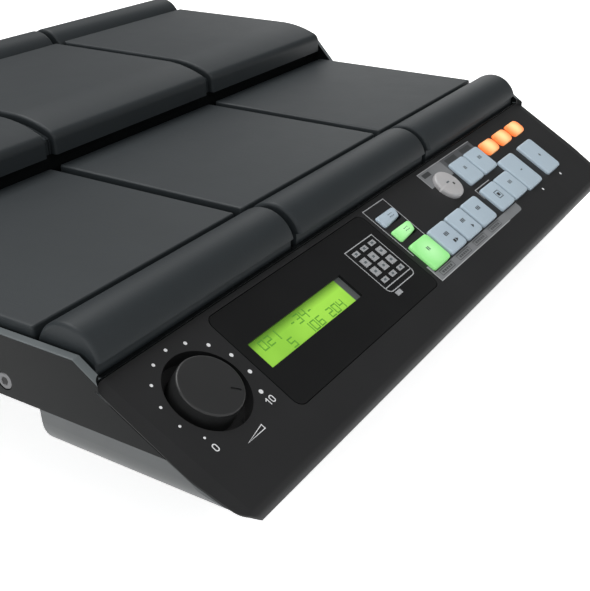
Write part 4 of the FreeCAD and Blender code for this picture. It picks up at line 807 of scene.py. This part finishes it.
def make_keys():
    for name, (u, v, width, height, corner, rise) in KEYS.items():
        slim = name in ("mode_key_1", "mode_key_2")
        outline = slim_outline(width, height, corner) if slim else rounded_rectangle(width, height, corner)
        piece = key_mesh(name + "_cap", (u, v), outline, (width, height), rise)
        material, slot = key_material(name)
        finish(piece, material, name, name)
    size = (2 * ROUND_KEY_RADIUS, 2 * ROUND_KEY_RADIUS)
    outline = rounded_rectangle(*size, ROUND_KEY_RADIUS, ROUND_KEY_STEPS)
    piece = key_mesh("round_key_cap", ROUND_KEY, outline, size, ROUND_KEY_RISE)
    finish(piece, MATERIALS["key_grey"], "round_key", "round_key")


# Side screws


def screw_ring(sign, y, radius, out, count):
    """Points round a side screw's axis, at a height over its head's face; sign is -1 on the left side."""
    turns = [2 * math.pi * i / count for i in range(count)]
    x = sign * (SIDE_SCREW_FACE + out)
    return [mm(x, y + radius * math.cos(t), SIDE_SCREW_Z + radius * math.sin(t)) for t in turns]


def hoop(rings):
    """Points and faces of a closed band whose last ring joins its first."""
    count = len(rings[0])
    points = [p for ring in rings for p in ring]
    faces = []
    for i in range(len(rings)):
        low = i * count
        high = (i + 1) % len(rings) * count
        for j in range(count):
            k = (j + 1) % count
            faces.append((low + j, low + k, high + k, high + j))
    return points, faces


def gather(parts):
    """Points and faces of several shapes as one."""
    points = []
    faces = []
    for part_points, part_faces in parts:
        start = len(points)
        points += part_points
        faces += [tuple(start + index for index in face) for face in part_faces]
    return points, faces


def side_screws():
    """A raised rim on the head of each side screw, and a near-black six-sided plate that is painted shade for
    its socket.
    """
    rims = []
    socket_shades = []
    for sign in (-1, 1):
        for y in SIDE_SCREW_Y:
            rim = [screw_ring(sign, y, r, out, SCREW_RIM_SIDES) for r, out in SIDE_SCREW_RIM]
            recess = [screw_ring(sign, y, r, out, SCREW_SOCKET_SHADE_SIDES) for r, out in SIDE_SCREW_SOCKET_SHADE]
            rims.append(hoop(rim))
            socket_shades.append(loft(recess))
    finish(sharpen(mesh_object("side_screw_rims", *gather(rims))), MATERIALS["screw_steel"])
    # Painted shade: the sockets are not cut; a near-black plate stands for their shade
    finish(mesh_object("side_screw_socket_shades", *gather(socket_shades), smooth=False), MATERIALS["recess"])


# Printed marks: thin closed plates on the panel or on a key


class Print:
    """Collects thin plates of one colour into one piece.

    Places are counted from a middle, and the plates follow a height over the panel at each (u, v).
    """

    def __init__(self, low=PRINT_LOW, high=PRINT_HIGH, height_at=lambda u, v: 0.0, middle=(0.0, 0.0)):
        self.plates = []
        self.low = low
        self.high = high
        self.height_at = height_at
        self.middle = middle

    def plate(self, outline):
        """A plate over an outline of (u, v) points."""
        across, down = self.middle
        placed = [(across + u, down + v) for u, v in outline]
        rings = []
        for level in (self.low, self.high):
            rings.append([on_panel(u, v, level + self.height_at(u, v)) for u, v in placed])
        self.plates.append(loft(rings))
        return self

    def disc(self, u, v, radius, steps=20):
        """A round plate about a point."""
        turns = [2 * math.pi * i / steps for i in range(steps)]
        return self.plate([(u + radius * math.cos(t), v + radius * math.sin(t)) for t in turns])

    def bar(self, u0, v0, u1, v1):
        """An upright rectangle between two corners."""
        return self.plate([(u0, v0), (u1, v0), (u1, v1), (u0, v1)])

    def row(self, bar, count, step):
        """Equal bars side by side, beginning with a given one."""
        left, top, right, bottom = bar
        for i in range(count):
            self.bar(left + i * step, top, right + i * step, bottom)
        return self

    def line(self, start, end, width):
        """A straight line with square ends that reach half its width past its two points."""
        along, down = unit(start, end)
        du = along * width / 2
        dv = down * width / 2
        u0, v0 = start[0] - du, start[1] - dv
        u1, v1 = end[0] + du, end[1] + dv
        return self.plate([(u0 - dv, v0 + du), (u1 - dv, v1 + du), (u1 + dv, v1 - du), (u0 + dv, v0 - du)])

    def path(self, points, width, closed=False):
        """A line of steady width through points, as one ring of plates with mitred joints."""
        count = len(points)
        left = []
        right = []
        for i, point in enumerate(points):
            before = points[i - 1] if closed or i else point
            after = points[(i + 1) % count] if closed or i < count - 1 else point
            into = unit(before, point) if before != point else unit(point, after)
            out = unit(point, after) if after != point else into
            normal = (-(into[1] + out[1]), into[0] + out[0])
            size = math.hypot(*normal)
            normal = (normal[0] / size, normal[1] / size)
            spread = width / 2 / max(normal[0] * -into[1] + normal[1] * into[0], LEAST_MITRE)
            left.append((point[0] + normal[0] * spread, point[1] + normal[1] * spread))
            right.append((point[0] - normal[0] * spread, point[1] - normal[1] * spread))
        last = count if closed else count - 1
        for i in range(last):
            j = (i + 1) % count
            self.plate([left[i], left[j], right[j], right[i]])
        return self

    def piece(self, name, material, body=CASE):
        """The collected plates as one piece that rides on a body."""
        made = mesh_object(name, *gather(self.plates), smooth=False)
        return finish(made, MATERIALS[material], body)


def unit(start, end):
    """Direction from one (u, v) point to another."""
    length = math.dist(start, end)
    return ((end[0] - start[0]) / length, (end[1] - start[1]) / length)


def rounded_path(u, v, radius, corners=(True, True, True, True), steps=5):
    """Outline of a field from its (low, high) u and v, with some of its corners rounded.

    The corners are the lower right, lower left, upper left and upper right one.
    """
    points = []
    places = ((u[1], v[1]), (u[0], v[1]), (u[0], v[0]), (u[1], v[0]))
    signs = ((1, 1), (-1, 1), (-1, -1), (1, -1))
    for i, ((corner_u, corner_v), (su, sv), is_round) in enumerate(zip(places, signs, corners)):
        if not is_round:
            points.append((corner_u, corner_v))
            continue
        middle_u = corner_u - su * radius
        middle_v = corner_v - sv * radius
        for j in range(steps + 1):
            turn = math.pi / 2 * (i + j / steps)
            points.append((middle_u + radius * math.cos(turn), middle_v + radius * math.sin(turn)))
    return points


def dial_dots(ink):
    """Dots that grow from the knob's lower stop to its upper one."""
    for i in range(DOT_COUNT):
        turn = math.radians(DOT_START + DOT_STEP * i)
        share = i / (DOT_COUNT - 1)
        radius = (DOT_SIZES[0] + (DOT_SIZES[1] - DOT_SIZES[0]) * share) / 2
        ink.disc(KNOB[0] + DOT_CIRCLE * math.cos(turn), KNOB[1] + DOT_CIRCLE * math.sin(turn), radius)


def dial_numbers(ink):
    """A plain 0 and 10 beside the first dot and the last, and a wedge that widens between them."""
    tall, wide, stroke = DIGIT_SIZE

    def nought(u, v):
        outline = rounded_path((u - wide / 2, u + wide / 2), (v - tall / 2, v + tall / 2), DIGIT_CORNER)
        ink.path(outline, stroke, closed=True)

    def one(u, v):
        top = v - tall / 2
        ink.line((u, top), (u, v + tall / 2), stroke)
        ink.line(*((u + across, top + down) for across, down in ONE_STROKE), stroke)

    nought(*ZERO_PLACE)
    one(*TEN_PLACES[0])
    nought(*TEN_PLACES[1])
    ink.path(WEDGE, WEDGE_LINE, closed=True)


def lamp_box(ink):
    """Outline round the lamps, with a line over its lowest strip."""
    corners = (True, True, False, False)
    ink.path(rounded_path(LAMP_BOX_U, LAMP_BOX_V, LAMP_BOX_CORNER, corners), THIN_LINE, closed=True)
    ink.line((LAMP_BOX_U[0], LAMP_BOX_LINE_V), (LAMP_BOX_U[1], LAMP_BOX_LINE_V), THIN_LINE)


def lamp_marks(ink):
    """A small dark mark on every lamp."""
    left, top, right, bottom = LAMP_MARK
    for u in LAMP_U:
        for v in LAMP_V:
            ink.bar(u + left, v + top, u + right, v + bottom)


def mode_box(ink):
    """Outline round the mode keys, open below."""
    left, right = MODE_BOX_U
    left_end, right_end = MODE_BOX_ENDS
    ink.path([(left, left_end), (left, MODE_BOX_TOP), (right, MODE_BOX_TOP), (right, right_end)], THIN_LINE)


def top_field(light, grey, line, dark):
    """Field behind the round key and the edit keys, with dark patches behind its labels' places."""
    left, middle, right = TOP_FIELD_U
    top, low = TOP_FIELD_V
    light_low = low + TOP_FIELD_STEP
    light.bar(left, top, middle, light_low)
    grey.bar(middle, top, right, low)
    line.path([(left, light_low), (left, top), (right, top)], TOP_FIELD_LINE)
    for u in EDIT_U:
        dark.bar(u + EDIT_PATCH[0], EDIT_PATCH[1], u + EDIT_PATCH[2], EDIT_PATCH[3])
    dark.bar(*ROUND_PATCH)


def low_field(light, line, dark):
    """Field under the lower row of keys, with a box of short bars under each of the first four."""
    left, _ = LOW_FIELD_U
    top, low = LOW_FIELD_V
    width, height = LOW_FIELD_POST
    light.plate(rounded_path(LOW_FIELD_U, LOW_FIELD_V, LOW_FIELD_CORNER, (True, False, False, False)))
    light.bar(left, top - height, left + width, top)
    line.path([(left, top - height), (left, low), (LOW_FIELD_LINE_END, low)], THIN_LINE)
    bar_left, bar_top, bar_right, bar_low = LABEL_BAR
    for u in (MODE_U,) + PLAY_U:
        box_u = (u + LABEL_BOX_U[0], u + LABEL_BOX_U[1])
        dark.path(rounded_path(box_u, LABEL_BOX_V, LABEL_BOX_LINE), LABEL_BOX_LINE, closed=True)
        dark.row((u + bar_left, bar_top, u + bar_right, bar_low), LABEL_BAR_COUNT, LABEL_BAR_STEP)


def edit_line(line):
    """Angle round the upper left corner of the third edit key."""
    u = EDIT_U[0] - SQUARE_KEY[0] / 2 - EDIT_LINE_GAP[0]
    v = KEY_ROW_V - SQUARE_KEY[1] / 2 - EDIT_LINE_GAP[1]
    along, down = EDIT_LINE_LEGS
    line.path([(u, v + down), (u, v), (u + along, v)], THIN_LINE)


def key_fields():
    """Printed fields behind and under the keys, in four tones."""
    light = Print()
    grey = Print()
    line = Print(high=PRINT_TOP)
    dark = Print(high=PRINT_TOP)
    top_field(light, grey, line, dark)
    low_field(light, line, dark)
    edit_line(line)
    light.piece("field_light", "print_light")
    grey.piece("field_grey", "print_grey")
    line.piece("field_lines", "print_line")
    dark.piece("field_boxes", "print_dark")


def value_dots(ink):
    """A dot under each value key."""
    across, v, radius = VALUE_DOT
    for u in VALUE_U:
        ink.disc(u + across, v, radius)


def key_print(name):
    """A Print on a key's domed top, with places counted from the key's middle."""
    if name == "round_key":
        u, v = ROUND_KEY
        width = height = 2 * ROUND_KEY_RADIUS
        rise = ROUND_KEY_RISE
    else:
        u, v, width, height, _, rise = KEYS[name]
    inner = (width - 2 * KEY_EDGE, height - 2 * KEY_EDGE)
    return Print(height_at=lambda pu, pv: rise + crown_height(pu - u, pv - v, *inner), middle=(u, v))


def square_key_mark(name):
    """Short bars on a square key, and on some play keys a small square or a triangle under them."""
    count = 2 if name in ("mode_key_3", "edit_key_1") else 3
    ink = key_print(name).row(SQUARE_BAR, count, SQUARE_BAR_STEP)
    if name == "play_key_1":
        ink.bar(*SMALL_SQUARE)
    if name in ("play_key_1", "play_key_2"):
        ink.plate(TRIANGLE)
    ink.piece(name + "_mark", "key_symbol_dark" if name.startswith("play") else "key_symbol", name)


def key_symbols():
    """Small plain marks on the keys: bars, a framed square, triangles, a dash, a cross and a dot."""
    for name in ("mode_key_1", "mode_key_2"):
        key_print(name).row(SLIM_BAR, 3, SLIM_BAR_STEP).piece(name + "_mark", "key_symbol", name)
    square_key_mark("mode_key_3")
    for number in (1, 2, 3):
        square_key_mark("play_key_" + str(number))
    for number in (1, 2, 4):
        square_key_mark("edit_key_" + str(number))
    frame_mark = key_print("edit_key_3").path(rounded_path(*FRAME_MARK), FRAME_LINE, closed=True)
    frame_mark.bar(*FRAME_HEART).piece("edit_key_3_mark", "key_symbol_dark", "edit_key_3")
    key_print("value_key_1").bar(*DASH).piece("value_key_1_mark", "key_symbol", "value_key_1")
    cross = key_print("value_key_2").bar(*DASH)
    for arm in CROSS_ARMS:
        cross.bar(*arm)
    cross.piece("value_key_2_mark", "key_symbol", "value_key_2")
    key_print("round_key").disc(*ROUND_KEY_DOT).piece("round_key_dot", "key_symbol_dark", "round_key")
    key_print("round_key").bar(*ROUND_KEY_BAR).piece("round_key_mark", "key_symbol", "round_key")


def digit_dots(digit):
    """Places of the dots that draw a digit, a dash or nothing on a five by seven grid."""
    bars = {
        "top": [(i, 0) for i in range(5)],
        "middle": [(i, 3) for i in range(1, 4)],
        "base": [(i, 6) for i in range(5)],
        "upper left": [(0, i) for i in range(4)],
        "upper right": [(4, i) for i in range(4)],
        "lower left": [(0, i) for i in range(3, 7)],
        "lower right": [(4, i) for i in range(3, 7)],
    }
    shapes = {
        "0": ("top", "base", "upper left", "upper right", "lower left", "lower right"),
        "1": ("upper right", "lower right"),
        "2": ("top", "middle", "base", "upper right", "lower left"),
        "3": ("top", "middle", "base", "upper right", "lower right"),
        "4": ("middle", "upper left", "upper right", "lower right"),
        "5": ("top", "middle", "base", "upper left", "lower right"),
        "6": ("top", "middle", "base", "upper left", "lower left", "lower right"),
        "-": ("middle",),
        " ": (),
    }
    return sorted({dot for bar in shapes[digit] for dot in bars[bar]})


def display_digits():
    """Two lines of plain numbers in dots on the display."""
    ink = Print(LCD_PRINT_W - LCD_PRINT_DEPTH, LCD_PRINT_W)
    half = LCD_DOT_HALF
    for row, line in enumerate(LCD_LINES):
        for place, digit in enumerate(line):
            for across, down in digit_dots(digit):
                u = LCD_START[0] + (place * LCD_STEP[0] + across) * LCD_DOT
                v = LCD_START[1] + (row * LCD_STEP[1] + down) * LCD_DOT
                ink.bar(u - half, v - half, u + half, v + half)
    ink.piece("display_digits", "lcd_segment")


def make_prints():
    white = Print()
    dial_dots(white)
    value_dots(white)
    dial_numbers(white)
    white.piece("white_print", "print_ink")
    lines = Print()
    lamp_box(lines)
    mode_box(lines)
    lines.piece("outline_print", "print_line")
    marks = Print(LAMP_TOP_W + PRINT_LOW, LAMP_TOP_W + PRINT_HIGH)
    lamp_marks(marks)
    marks.piece("lamp_marks", "key_symbol")
    key_fields()
    key_symbols()
    display_digits()


def main():
    dress_nodes()
    for side in COLUMNS:
        low_pad(side)
        high_pad(side)
        bar_pad("front_bar", side)
        bar_pad("rear_bar", side)
    make_keys()
    side_screws()
    make_prints()


def make_camera():
    data = bpy.data.cameras.new("photo_camera")
    data.lens = CAMERA_LENS
    data.sensor_width = CAMERA_SENSOR
    data.shift_x, data.shift_y = CAMERA_SHIFT
    data.clip_start = 0.01
    data.clip_end = 20.0
    camera = bpy.data.objects.new("photo_camera", data)
    camera.location = mm(*CAMERA_PLACE)
    camera.rotation_euler = [math.radians(t) for t in CAMERA_TURN]
    bpy.context.scene.collection.objects.link(camera)
    bpy.context.scene.camera = camera


def area_light(name, place, target, size, power):
    data = bpy.data.lights.new(name, "AREA")
    data.shape = "RECTANGLE"
    data.size, data.size_y = size
    data.energy = power
    light = bpy.data.objects.new(name, data)
    light.location = place
    light.rotation_euler = (Vector(target) - Vector(place)).to_track_quat("-Z", "Y").to_euler()
    bpy.context.scene.collection.objects.link(light)


def pick(tree, factor, off, on):
    """One of two values, each a number or a socket, by a factor of nought or one."""
    made = tree.nodes.new("ShaderNodeMix")
    tree.links.new(factor, made.inputs["Factor"])
    for name, value in (("A", off), ("B", on)):
        if isinstance(value, float):
            made.inputs[name].default_value = value
        else:
            tree.links.new(value, made.inputs[name])
    return made.outputs["Result"]


def ray_level(tree, seen, reflected, other):
    """One level for what the camera sees, also through glass, one for reflections and one for other light."""
    rays = tree.nodes.new("ShaderNodeLightPath").outputs
    level = pick(tree, rays["Is Glossy Ray"], other, reflected)
    level = pick(tree, rays["Is Transmission Ray"], level, seen)
    return pick(tree, rays["Is Camera Ray"], level, seen)


def make_floor():
    """White paper that keeps a faint shadow."""
    corners = [(x * FLOOR_REACH, y * FLOOR_REACH, 0) for x, y in ((-1, -1), (1, -1), (1, 1), (-1, 1))]
    floor = mesh_object("floor", corners, [(0, 1, 2, 3)])
    paper = moulded("floor_paper", (0.93, 0.93, 0.93), 0.9, 300.0, 0.00001, 0.01)
    paper.glow((1.0, 1.0, 1.0), 1.0)
    level = ray_level(paper.tree, FLOOR_GLOW, FLOOR_REFLECTED, 0.0)
    paper.link(level, paper.shader.inputs["Emission Strength"])
    floor.data.materials.append(paper.material)


def make_world():
    """A plain soft light, white to the camera; reflections show pale walls before and behind the object."""
    world = bpy.data.worlds.new("studio")
    bpy.context.scene.world = world
    world.use_nodes = True
    tree = world.node_tree
    axes = tree.nodes.new("ShaderNodeSeparateXYZ")
    tree.links.new(tree.nodes.new("ShaderNodeTexCoord").outputs["Generated"], axes.inputs["Vector"])
    place = tree.nodes.new("ShaderNodeMapRange")
    place.inputs["From Min"].default_value = -1.0
    tree.links.new(axes.outputs["Y"], place.inputs["Value"])
    backdrop = tree.nodes.new("ShaderNodeValToRGB")
    stops = backdrop.color_ramp.elements
    for _ in BACKDROP[2:]:
        stops.new(0.5)
    for stop, (y, level) in zip(stops, BACKDROP):
        stop.position = (y + 1) / 2
        stop.color = (level, level, level, 1)
    tree.links.new(place.outputs["Result"], backdrop.inputs["Fac"])
    background = tree.nodes["Background"]
    background.inputs["Color"].default_value = (1.0, 1.0, 1.0, 1)
    level = ray_level(tree, 1.0, backdrop.outputs["Color"], WORLD_LEVEL)
    tree.links.new(level, background.inputs["Strength"])


def make_studio():
    make_floor()
    make_world()
    make_camera()
    for name, settings in LAMPS.items():
        area_light(name, *settings)
    bpy.context.scene.view_settings.view_transform = "Standard"


main()
make_studio()
